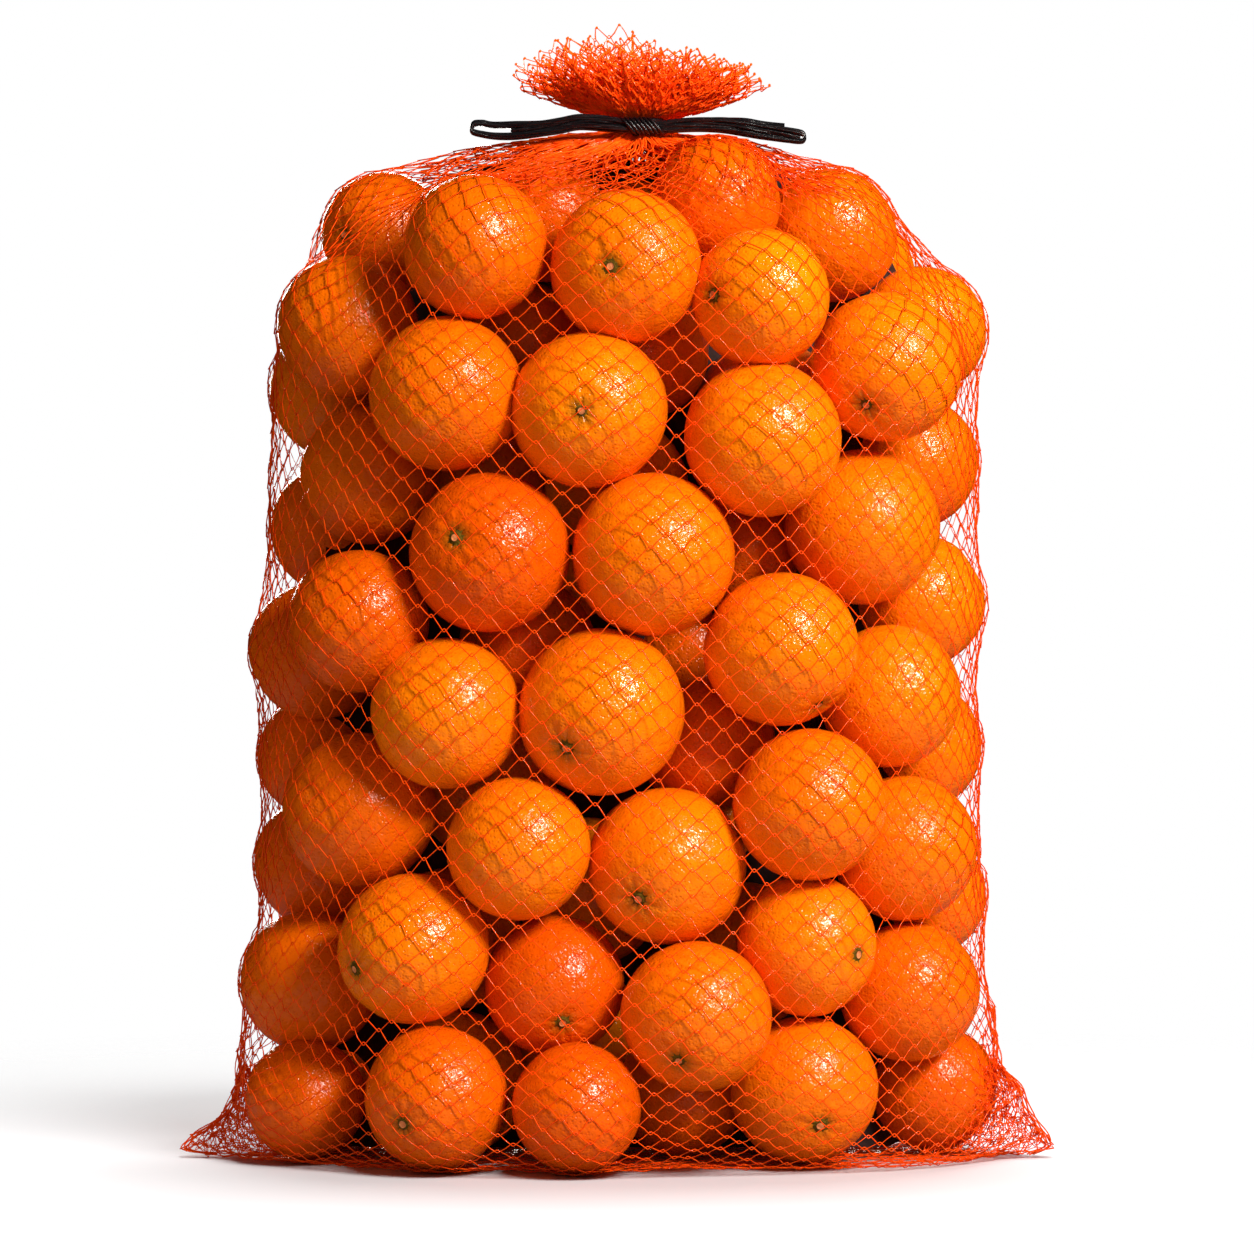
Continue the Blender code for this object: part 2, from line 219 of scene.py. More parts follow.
def window(tree, value, start, end, from_value=1.0, to_value=0.0, kind="SMOOTHSTEP"):
    """A change from one value to another while the input goes from start to end."""
    made = node(tree, "ShaderNodeMapRange", interpolation_type=kind,
                **{"From Min": start, "From Max": end, "To Min": from_value, "To Max": to_value})
    feed(tree, made.inputs["Value"], value)
    return made.outputs["Result"]


# %% World
world = bpy.data.worlds.new("white_room")
world.use_nodes = True
world.cycles_visibility.glossy = False
bpy.context.scene.world = world
tree = world.node_tree
dim = tree.nodes["Background"]
dim.inputs["Color"].default_value = (0.93, 0.96, 1, 1)
dim.inputs["Strength"].default_value = 0.03
seen = node(tree, "ShaderNodeBackground", Color=(1, 1, 1, 1), Strength=1.0)
ray = node(tree, "ShaderNodeLightPath")
either = mix_shader(tree, ray.outputs["Is Camera Ray"], dim.outputs[0], seen.outputs[0])
feed(tree, tree.nodes["World Output"].inputs["Surface"], either)

# %% Floor
FLOOR_RADIUS, FLOOR_DROP = 1.6, 0.4 * MM
FLOOR_WHITE, FLOOR_GREY, FLOOR_DARK = ((tone, tone, tone) for tone in (0.92, 0.55, 0.12))
FLOOR_FADE = (0.46, 0.82)    # where the floor ends and where it is whole, from 0 far out to 1 in the middle
FLOOR_SHRINK = 0.66

floor = fresh("floor", bpy.ops.mesh.primitive_circle_add, vertices=96, radius=FLOOR_RADIUS,
              fill_type="NGON", location=(0, 0, -FLOOR_DROP))
paper, tree, sheet, spot = new_material("white_paper")
ray = node(tree, "ShaderNodeLightPath")
grey = mix_colour(tree, ray.outputs["Is Diffuse Ray"], FLOOR_DARK, FLOOR_GREY)
white = mix_colour(tree, ray.outputs["Is Camera Ray"], grey, FLOOR_WHITE)
feed(tree, sheet.inputs["Base Color"], white)
feed(tree, sheet.inputs["Roughness"], 0.9)
feed(tree, sheet.inputs["Specular IOR Level"], 0.1)
shrink = node(tree, "ShaderNodeMapping", Scale=(FLOOR_SHRINK,) * 3)
feed(tree, shrink.inputs["Vector"], spot)
fade = node(tree, "ShaderNodeTexGradient", gradient_type="SPHERICAL")
feed(tree, fade.inputs["Vector"], shrink.outputs["Vector"])
whole = window(tree, fade.outputs["Fac"], *FLOOR_FADE, 0.0, 1.0, "LINEAR")
clear = node(tree, "ShaderNodeBsdfTransparent")
blend = mix_shader(tree, whole, clear.outputs[0], sheet.outputs[0])
feed(tree, tree.nodes["Material Output"].inputs["Surface"], blend)
floor.data.materials.append(paper)

# %% Lamps for the floor alone
only_floor = bpy.data.collections.new("only_floor")
only_floor.objects.link(floor)
for name, place, size, power in (("shadow_light", (0.6, -1.2, 2.1), 0.9, 48),
                                 ("contact_light", (0.1, 0.4, 2.5), 1.0, 46)):
    softbox(name, place, size, power).light_linking.receiver_collection = only_floor
all_but_floor = bpy.data.collections.new("all_but_floor")
all_but_floor.objects.link(floor)
all_but_floor.collection_objects[0].light_linking.link_state = "EXCLUDE"
for lamp in lamps:
    lamp.light_linking.receiver_collection = all_but_floor

# %% [markdown]
# ## Where the oranges lie
#
# The part's own source packs the fruit in the same way, so that the solid and the fruit agree. The fruit
# that shows is laid out as listed, in courses, each a given distance behind the near face of the net. The
# fruit behind it starts in staggered courses and is pressed apart until it fits.

# %% The room inside the sack
SACK_HALF_WIDTH = 187 * MM
SACK_HALF_DEPTH = 116 * MM
SECTION_POWER = 2.6          # 2 is an ellipse, more is squarer
SHOULDER_START = 400 * MM    # height where the section starts to close in
SHOULDER_RISE = 130 * MM
SHOULDER_CLOSING = 0.5       # share of the depth lost at the top of that rise
CROWN_HEIGHT = 492 * MM      # the highest that hidden fruit reaches, at the middle
CROWN_SLOPE = 0.1            # and what that height loses per distance to the side
NET_SKIN = 1.0 * MM          # how far the fruit stays off the floor


def room_for(up, radius):
    """The half sizes of the section that a fruit's centre can reach at a height."""
    closing = np.clip((up - SHOULDER_START) / SHOULDER_RISE, 0, 1) ** 2
    return SACK_HALF_WIDTH - radius, (SACK_HALF_DEPTH - radius) * (1 - SHOULDER_CLOSING * closing)


# %% The fruit that shows, and the fruit behind it
# Across, up, radius, and how far it is set back from the near face, in millimetres, in courses from
# the floor up. The last courses are a layer further in.
SHOWN_FRUIT = (
    (-156, 31, 30, 0), (-90, 36, 35, 0), (-22, 32.5, 31.5, 0), (30, 34, 33, 30), (89, 38, 36, 0),
    (156, 33, 32, 18), (-155, 88, 35, 6), (-101, 108, 37, 0), (-33, 89, 35, 8), (36, 76, 37, 0),
    (90, 109, 34.5, 10), (142, 84, 35, 4), (-129, 174, 38, 10), (-50, 157, 35, 8), (22, 148, 39, 0),
    (91, 178, 37, 0), (139, 155, 36, 12), (-85, 222, 37, 0), (-10, 223, 41, 0), (77, 253, 38, 0),
    (132, 230, 35.5, 14), (-128, 267, 34.5, 10), (-64, 300, 39, 2), (15, 299, 40, 0),
    (118, 313, 38.5, 8), (-125, 339, 34.5, 16), (-85, 377, 38, 0), (-16, 369, 38, 0),
    (68, 355, 38, 0), (129, 391, 37, 8), (-135, 412, 35, 8), (-71, 448, 35.5, 0), (2, 438, 37, 0),
    (67, 423, 34, 0),
    (-151, 145, 34, 34), (152, 129, 32, 50), (-152, 252, 34, 40), (149, 277, 34, 46),
    (-144, 314, 34, 55), (146, 347, 34, 50), (-151, 199, 33, 50), (149, 204, 33, 54),
    (150, 412, 33, 50), (58, 303, 32, 52), (42, 206, 34, 44), (-47, 255, 34, 52), (34, 250, 33, 72),
    (11, 400, 33, 60), (-48, 404, 33, 64), (-119, 460, 32, 62), (-38, 466, 31, 45),
    (46, 472, 33, 40), (103, 459, 34, 44), (6, 464, 30, 88),
)
SHOWN_GIVE = 0.35            # how readily shown fruit moves back when hidden fruit presses on it
HIDDEN_LAYERS = (78 * MM, 10 * MM)
HIDDEN_COURSES = 7
HIDDEN_SPACING = 72 * MM
HIDDEN_COURSE_STEP = 66 * MM
HIDDEN_WANDER = 5 * MM
HIDDEN_RADIUS = (34 * MM, 39 * MM)
SETTLE_STEPS = 200
SQUEEZE = 3 * MM             # hidden fruit pressed closer than this is left out
PRESS_SHARE = 0.8            # how much of an overlap is undone in one step
RETURN_SHARE = 0.7           # how much of a way back into the sack is made in one step
DROP = 0.2 * MM              # how far hidden fruit settles in one step
SEED = 5


def shown_fruit():
    """The fruit that shows, each laid against the near face of the net and then set back."""
    for across, up, radius, back in (np.array(row) * MM for row in SHOWN_FRUIT):
        wide, deep = room_for(up, radius)
        share = min(1.0, abs(across) / wide)
        yield across, back - deep * (1 - share**SECTION_POWER) ** (1 / SECTION_POWER), up, radius


def hidden_fruit():
    """Staggered courses of fruit for the far face and the middle, a little uneven."""
    rng = np.random.default_rng(SEED)
    for layer, away in enumerate(HIDDEN_LAYERS):
        for course in range(HIDDEN_COURSES):
            count = 5 - (course + layer) % 2
            for i in range(count):
                across = (i - (count - 1) / 2) * HIDDEN_SPACING + rng.uniform(-1, 1) * HIDDEN_WANDER
                up = HIDDEN_RADIUS[1] + course * HIDDEN_COURSE_STEP + rng.uniform(-1, 1) * HIDDEN_WANDER
                yield across, away, up, rng.uniform(*HIDDEN_RADIUS)


# %% Press the fruit apart
def press_apart(fruit, give, steps):
    """Moves fruit off its neighbours and into the sack. Returns how far each pair is still pressed in."""
    radius, centre = fruit[:, 3], fruit[:, :3]
    others = 1 - np.eye(len(fruit))
    ease = give.mean(axis=1)
    share = ease[:, None] / (ease[:, None] + ease[None])
    hidden = give[:, 2] == 1
    for _ in range(steps):
        apart = centre[:, None] - centre[None]
        distance = np.linalg.norm(apart, axis=2) + np.eye(len(fruit))
        pressed = np.clip(radius[:, None] + radius[None] - distance, 0, None) * others
        centre += PRESS_SHARE * ((pressed * share / distance)[..., None] * apart).sum(axis=1) * give
        wide, deep = room_for(centre[:, 2], radius)
        flat = centre[:, :2] / np.stack([wide, deep], axis=1)
        size = (np.abs(flat) ** SECTION_POWER).sum(axis=1) ** (1 / SECTION_POWER)
        slope = np.sign(flat) * np.abs(flat) ** (SECTION_POWER - 1) / np.stack([wide, deep], axis=1)
        back_in = np.clip(size - 1, 0, None) / (slope**2).sum(axis=1).clip(1e-6)
        centre[:, :2] -= RETURN_SHARE * back_in[:, None] * slope * (give[:, :2] > 0)
        crown = CROWN_HEIGHT - radius - CROWN_SLOPE * np.abs(centre[:, 0])
        lowered = np.clip(centre[:, 2] - DROP, radius + NET_SKIN, crown)
        centre[:, 2] = np.where(hidden, lowered, centre[:, 2])
    return pressed


def packed_fruit():
    """Every orange in the sack, as rows of x, y, z and radius in metres."""
    shown = list(shown_fruit())
    fruit = np.array(shown + list(hidden_fruit()))
    give = np.ones((len(fruit), 3))
    give[: len(shown)] = (0, SHOWN_GIVE, 0)
    pressed = press_apart(fruit, give, SETTLE_STEPS)
    while (pressed[len(shown):] > SQUEEZE).any():
        tightest = len(shown) + pressed[len(shown):].sum(axis=1).argmax()
        fruit = np.delete(fruit, tightest, axis=0)
        give = np.delete(give, tightest, axis=0)
        pressed = press_apart(fruit, give, SETTLE_STEPS // 5)
    press_apart(fruit, give, SETTLE_STEPS)
    return fruit


fruit = packed_fruit()
print(len(fruit), "oranges")

# %% [markdown]
# ## One orange
#
# An orange is nearly a ball, with a small hollow at its stem end and furrows that run out of it. One could
# sculpt it, but a sphere with a few extra rings round one pole takes the hollow and the furrows
# with very few faces, and the pebbled peel is left to the material. The pole is
# pressed in with a soft falloff, and then every few meridians are pressed in a little more.

# %% Model the ball with its stem hollow
STEM_RINGS = (3.5, 6, 11, 20)              # extra rings, in degrees from the stem
FURROWS = (0, 4, 9, 13, 18, 23, 27, 32, 37)  # meridians that carry a furrow
FURROW_SPAN, FURROW_DEPTH = (3, 21), 0.018   # from and to, in degrees from the stem; depth in radii
HOLLOW_DENTS = ((0.055, 0.42), (0.03, 0.14))  # depth and reach of each dent at the stem, in radii
SEGMENTS, RINGS = 42, 21

ball = fresh("ball", bpy.ops.mesh.primitive_uv_sphere_add, segments=SEGMENTS, ring_count=RINGS, radius=1)
with edit_mode():
    for degrees in STEM_RINGS:
        bpy.ops.mesh.select_all(action="SELECT")
        bpy.ops.mesh.bisect(plane_co=(0, 0, math.cos(math.radians(degrees))), plane_no=(0, 0, 1))

co = points_of(ball.data)
from_stem = np.arccos(np.clip(co[:, 2] / np.linalg.norm(co, axis=1), -1, 1))
meridian = np.round(np.arctan2(co[:, 1], co[:, 0]) / (2 * math.pi) * SEGMENTS).astype(int) % SEGMENTS


def press_in(chosen, depth, reach):
    """Presses the chosen vertices in along the stem's axis, and their neighbours with a soft falloff."""
    pick(ball, chosen)
    with edit_mode():
        bpy.ops.mesh.select_mode(type="VERT")
        bpy.ops.transform.translate(value=(0, 0, -depth), use_proportional_edit=reach > 0,
                                    proportional_edit_falloff="SMOOTH", proportional_size=max(reach, 0.01))


choose(ball)
for depth, reach in HOLLOW_DENTS:
    press_in(from_stem < math.radians(2), depth, reach)
start, end = np.radians(FURROW_SPAN)
press_in(np.isin(meridian, FURROWS) & (from_stem > start) & (from_stem < end), FURROW_DEPTH, 0)
print("one orange:", len(ball.data.vertices), "vertices")

# %% [markdown]
# The material has to know how far a spot is from its stem, and each orange has a tone of its own. Both
# travel in the mesh as attributes, which stay right when all the oranges are joined.

# %% Mark the stem distance, and make six uneven shapes
SHAPES = 6
UNEVENNESS = 0.034           # how far the peel rises and sinks in all, as a share of the radius

mark = ball.data.attributes.new("from_stem", "FLOAT", "POINT")
mark.data.foreach_set("value", np.degrees(from_stem))
ball.data.attributes.new("tone", "FLOAT", "POINT")
choose(ball)
bpy.ops.object.shade_smooth()

lumps = bpy.data.textures.new("lumps", "CLOUDS")   # each shape is displaced at its own place in them
lumps.noise_scale = 0.85
lumps.noise_depth = 1
shapes = []
for k in range(SHAPES):
    shape = copy_of(ball)
    shape.name = f"orange_shape_{k}"
    shape.data.transform(Matrix.Translation((7.3 * k, 3.1, 0)))
    choose(shape)
    bpy.ops.object.modifier_add(type="DISPLACE")
    sink = shape.modifiers[-1]
    sink.texture = lumps
    sink.texture_coords = "LOCAL"
    sink.mid_level = 0.6
    sink.strength = UNEVENNESS
    bpy.ops.object.modifier_apply(modifier=sink.name)
    shape.data.transform(Matrix.Translation((-7.3 * k, -3.1, 0)))
    shapes.append(shape)
print(SHAPES, "shapes of orange")

# %% Which way each stem points
# Fruit number in SHOWN_FRUIT, and where its stem sits on its near side, across and up, in radii.
SHOWN_STEMS = {
    32: (-0.22, -0.06), 27: (-0.09, -0.06), 22: (-0.44, 0.19), 18: (-0.44, -0.45), 19: (0.52, -0.77),
    14: (-0.39, -0.41), 8: (0.14, -0.51), 9: (-0.26, -0.57), 4: (0.21, -0.45), 1: (-0.46, -0.31),
    7: (-0.79, -0.25), 10: (0.76, -0.10), 33: (-0.75, 0.0), 29: (-0.32, -0.58),
}

# The redder ones among the fruit that shows, and how ripe a tone they have, from 0 for red to 1. For the
# fruit set back in the gaps, from number 34 on, the low tone, darker as well as redder, is also painted
# shade.
REDDER_AND_SHADED = {
    22: 0.1, 8: 0.1, 2: 0.12, 0: 0.2, 5: 0.15, 1: 0.3, 29: 1.0, 33: 1.0, 23: 0.8, 44: 0.15, 51: 0.3,
    31: 0.45, 6: 0.35, 12: 0.35, 21: 0.25, 30: 0.45, 25: 0.4, 36: 0.2, 40: 0.2, 34: 0.2, 38: 0.3,
    49: 0.3, 48: 0.2, 45: 0.2, 43: 0.1, 46: 0.15, 47: 0.3, 3: 0.2, 50: 0.3, 11: 0.4,
}
RIPE = (0.55, 1)             # the tones of the others


def stem_direction(i, rng):
    """A unit vector along the stem of fruit i: as listed, or on its far side, or anywhere at the back."""
    if i in SHOWN_STEMS:
        across, up = SHOWN_STEMS[i]
        return np.array([across, -math.sqrt(max(0.02, 1 - across**2 - up**2)), up])
    way = rng.normal(size=3)
    if fruit[i, 1] < 0:
        way[1] = abs(way[1]) + 0.35
    return way / np.linalg.norm(way)


# %% Copy the oranges into place
STEM_SEAT = 0.912            # where a stem button sits, in radii from the middle

rng = np.random.default_rng(11)
copies, stems = [], []
for i, (x, y, z, radius) in enumerate(fruit):
    stem = Vector(stem_direction(i, rng)).normalized()
    turn = stem.to_track_quat("Z", "Y").to_matrix().to_4x4() @ Matrix.Rotation(rng.uniform(0, 6.3), 4, "Z")
    squat = Matrix.Diagonal((1, rng.uniform(0.98, 1.02), rng.uniform(0.97, 1.01), 1))
    place = Matrix.Translation((x, y, z)) @ turn @ Matrix.Scale(radius, 4) @ squat
    copy = copy_of(shapes[rng.integers(SHAPES)])
    copy.data.transform(place)
    tone = np.full(len(copy.data.vertices), REDDER_AND_SHADED.get(i, rng.uniform(*RIPE)))
    copy.data.attributes["tone"].data.foreach_set("value", tone)
    copies.append(copy)
    stems.append(place @ Matrix.Translation((0, 0, STEM_SEAT)) @ Matrix.Scale(1 / radius, 4))
oranges = joined("oranges", *copies)
for spare in [ball, *shapes]:
    bpy.data.objects.remove(spare)

# %% [markdown]
# ## The dark heart of the pile
#
# Between the oranges one looks into the dark: more fruit, in its own shade. Only what can be seen is
# modelled, so the middle of the pile holds a thin core, coloured nearly black as painted shade, which
# stops the light from behind. It is a flat box with its corners well rounded, and the innermost fruit
# sticks out of it on both sides.

# %% Model the core
CORE_HALF_WIDTH, CORE_HALF_DEPTH = 148 * MM, 5 * MM
CORE_LOW, CORE_HIGH = 4 * MM, 497 * MM
CORE_BACK = 12 * MM          # it stands a little behind the middle
CORE_ROUNDNESS = {CORE_HIGH: 100 * MM, CORE_LOW: 20 * MM}   # of its upper and its lower corners

core = fresh("fruit_core", bpy.ops.mesh.primitive_cube_add, size=1,
             location=(0, CORE_BACK, (CORE_LOW + CORE_HIGH) / 2),
             scale=(2 * CORE_HALF_WIDTH, 2 * CORE_HALF_DEPTH, CORE_HIGH - CORE_LOW))
bpy.ops.object.transform_apply(location=True, rotation=False, scale=True)
bpy.context.tool_settings.mesh_select_mode = (False, True, False)
for height, roundness in CORE_ROUNDNESS.items():
    pick(core, np.zeros(len(core.data.vertices), bool))
    ends = points_of(core.data)
    for edge in core.data.edges:
        first, last = (ends[v] for v in edge.vertices)
        through = abs(first - last)[1] > CORE_HALF_DEPTH
        edge.select = bool(through and abs(first[2] - height) < MM)
    with edit_mode():
        bpy.ops.mesh.bevel(offset=roundness, segments=12, affect="EDGES")
bpy.context.tool_settings.mesh_select_mode = (True, False, False)
print("core:", len(core.data.polygons), "faces")

# %% [markdown]
# ## Stem buttons
#
# What is left of the stem is a small dry star of five lobes with a pale scar in its middle. A disc is inset
# three times for the scar and the dip in it, every fourth corner of its edge is pulled in for the
# lobes, and the whole is given thickness. A distance from its centre goes along for the colours.

# %% Model one stem button
BUTTON_RADIUS = 5.5 * MM
BUTTON_CORNERS = 20
BUTTON_STEPS = ((2.6, 0.5), (0.9, 0.7), (0.7, -0.3))   # each inset, and the rise after it, in millimetres
BUTTON_LOBES = ((0, 0.62), (1, 0.86), (3, 0.86))   # which corners of each four are pulled in, and how far

button = fresh("button", bpy.ops.mesh.primitive_circle_add, vertices=BUTTON_CORNERS, radius=BUTTON_RADIUS,
               fill_type="NGON")
with edit_mode():
    bpy.ops.mesh.select_all(action="SELECT")
    for inward, rise in BUTTON_STEPS:
        bpy.ops.mesh.inset(thickness=inward * MM)
        bpy.ops.transform.translate(value=(0, 0, rise * MM))
co = points_of(button.data)
out = np.hypot(co[:, 0], co[:, 1])
corner = np.round(np.arctan2(co[:, 1], co[:, 0]) / (2 * math.pi) * BUTTON_CORNERS).astype(int) % 4
for which, share in BUTTON_LOBES:
    pick(button, (out > 0.9 * BUTTON_RADIUS) & (corner == which))
    with edit_mode():
        bpy.ops.transform.resize(value=(share, share, 1), center_override=(0, 0, 0))
mark = button.data.attributes.new("from_stem", "FLOAT", "POINT")
mark.data.foreach_set("value", out / BUTTON_RADIUS)
choose(button)
bpy.ops.object.modifier_add(type="SOLIDIFY")
button.modifiers[-1].thickness = 0.9 * MM
bpy.ops.object.modifier_apply(modifier=button.modifiers[-1].name)

# %% Copy a button to each orange
copies = []
for place in stems:
    copy = copy_of(button)
    size = Matrix.Scale(rng.uniform(0.85, 1.15), 4)
    copy.data.transform(place @ Matrix.Rotation(rng.uniform(0, 6.3), 4, "Z") @ size)
    copies.append(copy)
buttons = joined("stem_buttons", *copies)
bpy.data.objects.remove(button)
print(len(stems), "stem buttons")

# %% [markdown]
# ## The net, knot by knot
#
# The net is a tube of diamond meshes, 68 round and a little over a hundred half-meshes long. It is seamed
# flat on the floor, and hangs between that seam and the tied neck. No operator knits a net. A
# cloth simulation would stretch it like a sheet, while a real net slides and shuts its meshes. So its
# knots are moved as a net maker's are: each of the four strands at a knot has a fixed length, the
# net is drawn tight, and no knot may enter a fruit. A few props that never show
# stand for the stiffness that holds up the ears of the seam and the ridge of the shoulders.

# %% The net's make
AROUND = 68                  # meshes round the tube
ROWS = 112                   # rows of knots from the seam to the neck
STRAND = 9.6 * MM            # a strand from knot to knot
SEAM_ROWS = 19               # rows from the seam to the edge of the base
SHOULDER_ROWS = 24           # rows from the shoulder to the neck
SHOULDER_HEIGHT = 430 * MM
LEAN = 0.4                   # turn of the net round the sack from the floor to the neck, in radians
LOOSE = 4 * MM               # how far the net starts outside the room
NECK = np.array((9, 0, 511)) * MM
NECK_RADIUS = 6.5 * MM
NECK_PLEATS = 11
SEAM_END = 216 * MM
# Outer edges of the two ears, from tip to the side of the sack: distance from the middle, and height.
EARS = {
    -1: ((219, 4), (214, 11), (201, 20), (194, 33), (192, 47), (189, 71), (188, 86)),
    1: ((214, 6), (209, 16), (204, 23), (200, 34), (190, 45), (188, 55), (186, 84)),
}
EAR_ROWS = 32                # rows of knots that an ear takes up
EAR_SHARPNESS = 60           # a higher power is a narrower ear
EAR_PROP = 3.5 * MM
# The ridge of the shoulders, from left to right: distance across, and height.
RIDGE = ((-150, 462), (-121, 490), (-76, 502), (-31, 508), (9, 508), (40, 507.5), (61, 506),
         (96, 494), (136, 471))
RIDGE_PROP = 16 * MM
RIDGE_STEP = 10 * MM


def section(angle, half_width, half_depth):
    """A ring of the sack's rounded cross-section, at angles in radians."""
    c, s = np.cos(angle), np.sin(angle)
    power = 2 / SECTION_POWER
    return half_width * np.sign(c) * np.abs(c) ** power, half_depth * np.sign(s) * np.abs(s) ** power


def props():
    """Balls that hold up the ears and the ridge, as rows of x, y, z and radius."""
    rows = []
    for side, edge in EARS.items():
        for out, up in edge:
            rows.append((side * (out * MM - EAR_PROP), 0, up * MM - 0.3 * EAR_PROP, EAR_PROP))
    across = np.arange(RIDGE[0][0] * MM, RIDGE[-1][0] * MM, RIDGE_STEP)
    height = np.interp(across, *(np.array(RIDGE).T * MM))
    slope = np.gradient(height, across)
    down = RIDGE_PROP / np.hypot(slope, 1)
    rows += [(x + d * k, 0, z - d, RIDGE_PROP) for x, z, d, k in zip(across, height, down, slope)]
    return np.array(rows)


# %% Where the loose knots start
def along_ear(side, share):
    """Points on the outer edge of an ear, at shares of its length from the tip up."""
    edge = np.array(EARS[side]) * MM
    run = np.concatenate([[0], np.cumsum(np.linalg.norm(np.diff(edge, axis=0), axis=1))])
    return np.stack([side * np.interp(share * run[-1], run, edge[:, 0]), 0 * share,
                     np.interp(share * run[-1], run, edge[:, 1])], axis=-1)


def loose_net():
    """The knots before the net is drawn tight, rows from the seam up, and each knot's share of an ear."""
    def side(angle):
        """The loose net at the sack's side."""
        return section(angle, SACK_HALF_WIDTH + LOOSE, SACK_HALF_DEPTH + LOOSE)

    grid, eared = [], []
    side_rows = ROWS - SHOULDER_ROWS
    for row in range(ROWS):
        turn = (np.arange(AROUND) + 0.5 * (row % 2)) / AROUND
        angle = 2 * math.pi * turn
        seam = SEAM_END * (4 * np.abs(turn - 0.5) - 1)
        if row <= SEAM_ROWS:
            share = row / SEAM_ROWS
            x, y = side(angle)
            ring = np.stack([seam * (1 - share) + x * share, y * share, 0 * x + MM], axis=1)
        elif row < side_rows:
            share = (row - SEAM_ROWS) / (side_rows - 1 - SEAM_ROWS)
            x, y = side(angle + 0.8 * LEAN * share)
            ring = np.stack([x, y, 0 * x + MM + share * (SHOULDER_HEIGHT - MM)], axis=1)
        else:
            share = (row - side_rows + 1) / SHOULDER_ROWS
            x, y = side(angle + LEAN * (0.8 + 0.2 * share))
            wide = math.cos(math.pi / 2 * share) ** 0.9
            up = SHOULDER_HEIGHT + (NECK[2] - SHOULDER_HEIGHT) * math.sin(math.pi / 2 * share)
            pleat = NECK_RADIUS * (1 + 0.2 * np.cos(NECK_PLEATS * angle))
            ring = np.stack([x * wide + (NECK[0] + pleat * np.cos(angle + LEAN)) * (1 - wide),
                             y * wide + pleat * np.sin(angle + LEAN) * (1 - wide), 0 * x + up], axis=1)
        ear = np.abs(np.cos(angle)) ** EAR_SHARPNESS * np.clip((EAR_ROWS - row) / 6, 0, 1)
        for way in EARS:
            takes = (ear * (np.sign(np.cos(angle)) == way))[:, None]
            tip = along_ear(way, np.full(AROUND, min(1, row / EAR_ROWS)) ** 0.9)
            ring = ring * (1 - takes) + tip * takes
        grid.append(ring)
        eared.append(ear)
    return np.array(grid), np.array(eared)


# %% Draw the net tight
SKIN = 0.85 * MM             # the middle of a strand stands this far off the peel
UNEVEN = 0.45 * MM           # how far knots stray from an even net
DRAW_STEPS = 400
SLACK = 0.3                  # how readily a strand pushes back when it is shorter than it should be
WEIGHT = 0.03 * MM           # how far a knot falls in one step
PULL = 0.25                  # how far a knot goes towards the mean of its four neighbours
EAR_PULL = 0.15              # and in an ear, where the net is slack
TOP_PULL = 0.25              # the share of the pull that is left at the neck
EASE_TOP, EASE_BAND = 0.50, 0.06   # the pull eases up to this height, over this band
EAR_CRUMPLE = np.array((0.5, 2.4, 0.6)) * MM   # how far a slack knot ends up off the even net
EAR_ROOT = 165 * MM          # an ear's net is stretched sideways from here out,
EAR_TOP = 90 * MM            # and below this height,
EAR_BAND = 6 * MM            # as far as its knots in each band of height reach
OFF_FLOOR = 0.5 * MM         # the middle of the lowest strands


def neighbours(grid, row_parity):
    """Slices of the rows above each row of that parity, and the roll that finds their second neighbour."""
    low = slice(row_parity, len(grid) - 1, 2)
    high = slice(row_parity + 1, len(grid), 2)
    return low, high, (1 if row_parity == 0 else -1)


def hold_length(grid, weights, strand, slack):
    """Moves both knots of each strand to give it its length. Slack is how much a short one pushes back."""
    for parity in (0, 1):
        low, high, roll = neighbours(grid, parity)
        for shift in (0, roll):
            upper = np.roll(grid[high], shift, axis=1)
            heavy = np.roll(weights[high], shift, axis=1)
            apart = upper - grid[low]
            length = np.linalg.norm(apart, axis=2, keepdims=True) + 1e-9
            change = (length - strand) / length * apart * np.where(length > strand, 1, slack[low])
            change /= weights[low] + heavy + 1e-9
            grid[low] += weights[low] * change
            grid[high] -= np.roll(heavy * change, -shift, axis=1)


def pulled(grid):
    """How far each knot lies from the mean of the four knots it is tied to."""
    mean = grid.copy()
    for first, roll in ((1, -1), (2, 1)):
        rows = np.arange(first, len(grid) - 1, 2)
        above, below = grid[rows + 1], grid[rows - 1]
        mean[rows] = (above + np.roll(above, roll, axis=1) + below + np.roll(below, roll, axis=1)) / 4
    return mean - grid


def clear_of(points, balls, skin):
    """Moves each point that is inside a ball straight out to a skin over it, in place."""
    apart = points[:, None, :] - balls[None, :, :3]
    distance = np.linalg.norm(apart, axis=2)
    depth = balls[None, :, 3] + skin - distance
    deepest = depth.argmax(axis=1)
    rows = np.arange(len(points))
    inside = depth[rows, deepest] > 0
    hit = deepest[inside]
    along = apart[rows[inside], hit] / distance[rows[inside], hit][:, None]
    points[inside] = balls[hit, :3] + along * (balls[hit, 3] + skin)[:, None]
    return points


def off_floor(points):
    """Lifts points that are too low."""
    points[..., 2] = np.maximum(points[..., 2], OFF_FLOOR)


def spread_to_edge(grid):
    """Stretches both ears sideways, until their outermost knots reach the outer edges listed in EARS."""
    out, up = np.abs(grid[..., 0]), grid[..., 2]
    for side, edge in EARS.items():
        outs, ups = np.array(edge).T * MM
        mine = side * grid[..., 0] > 0
        levels = np.arange(0, EAR_TOP, EAR_BAND)
        reach = [out[mine & (np.abs(up - level) < EAR_BAND)].max() for level in levels]
        short = np.interp(up, ups, outs) - np.interp(up, levels, reach)
        share = np.clip((out - EAR_ROOT) / (np.interp(up, levels, reach) - EAR_ROOT), 0, 1)
        grid[..., 0] += side * mine * share * short * np.clip((EAR_TOP - up) / (3 * EAR_BAND), 0, 1)


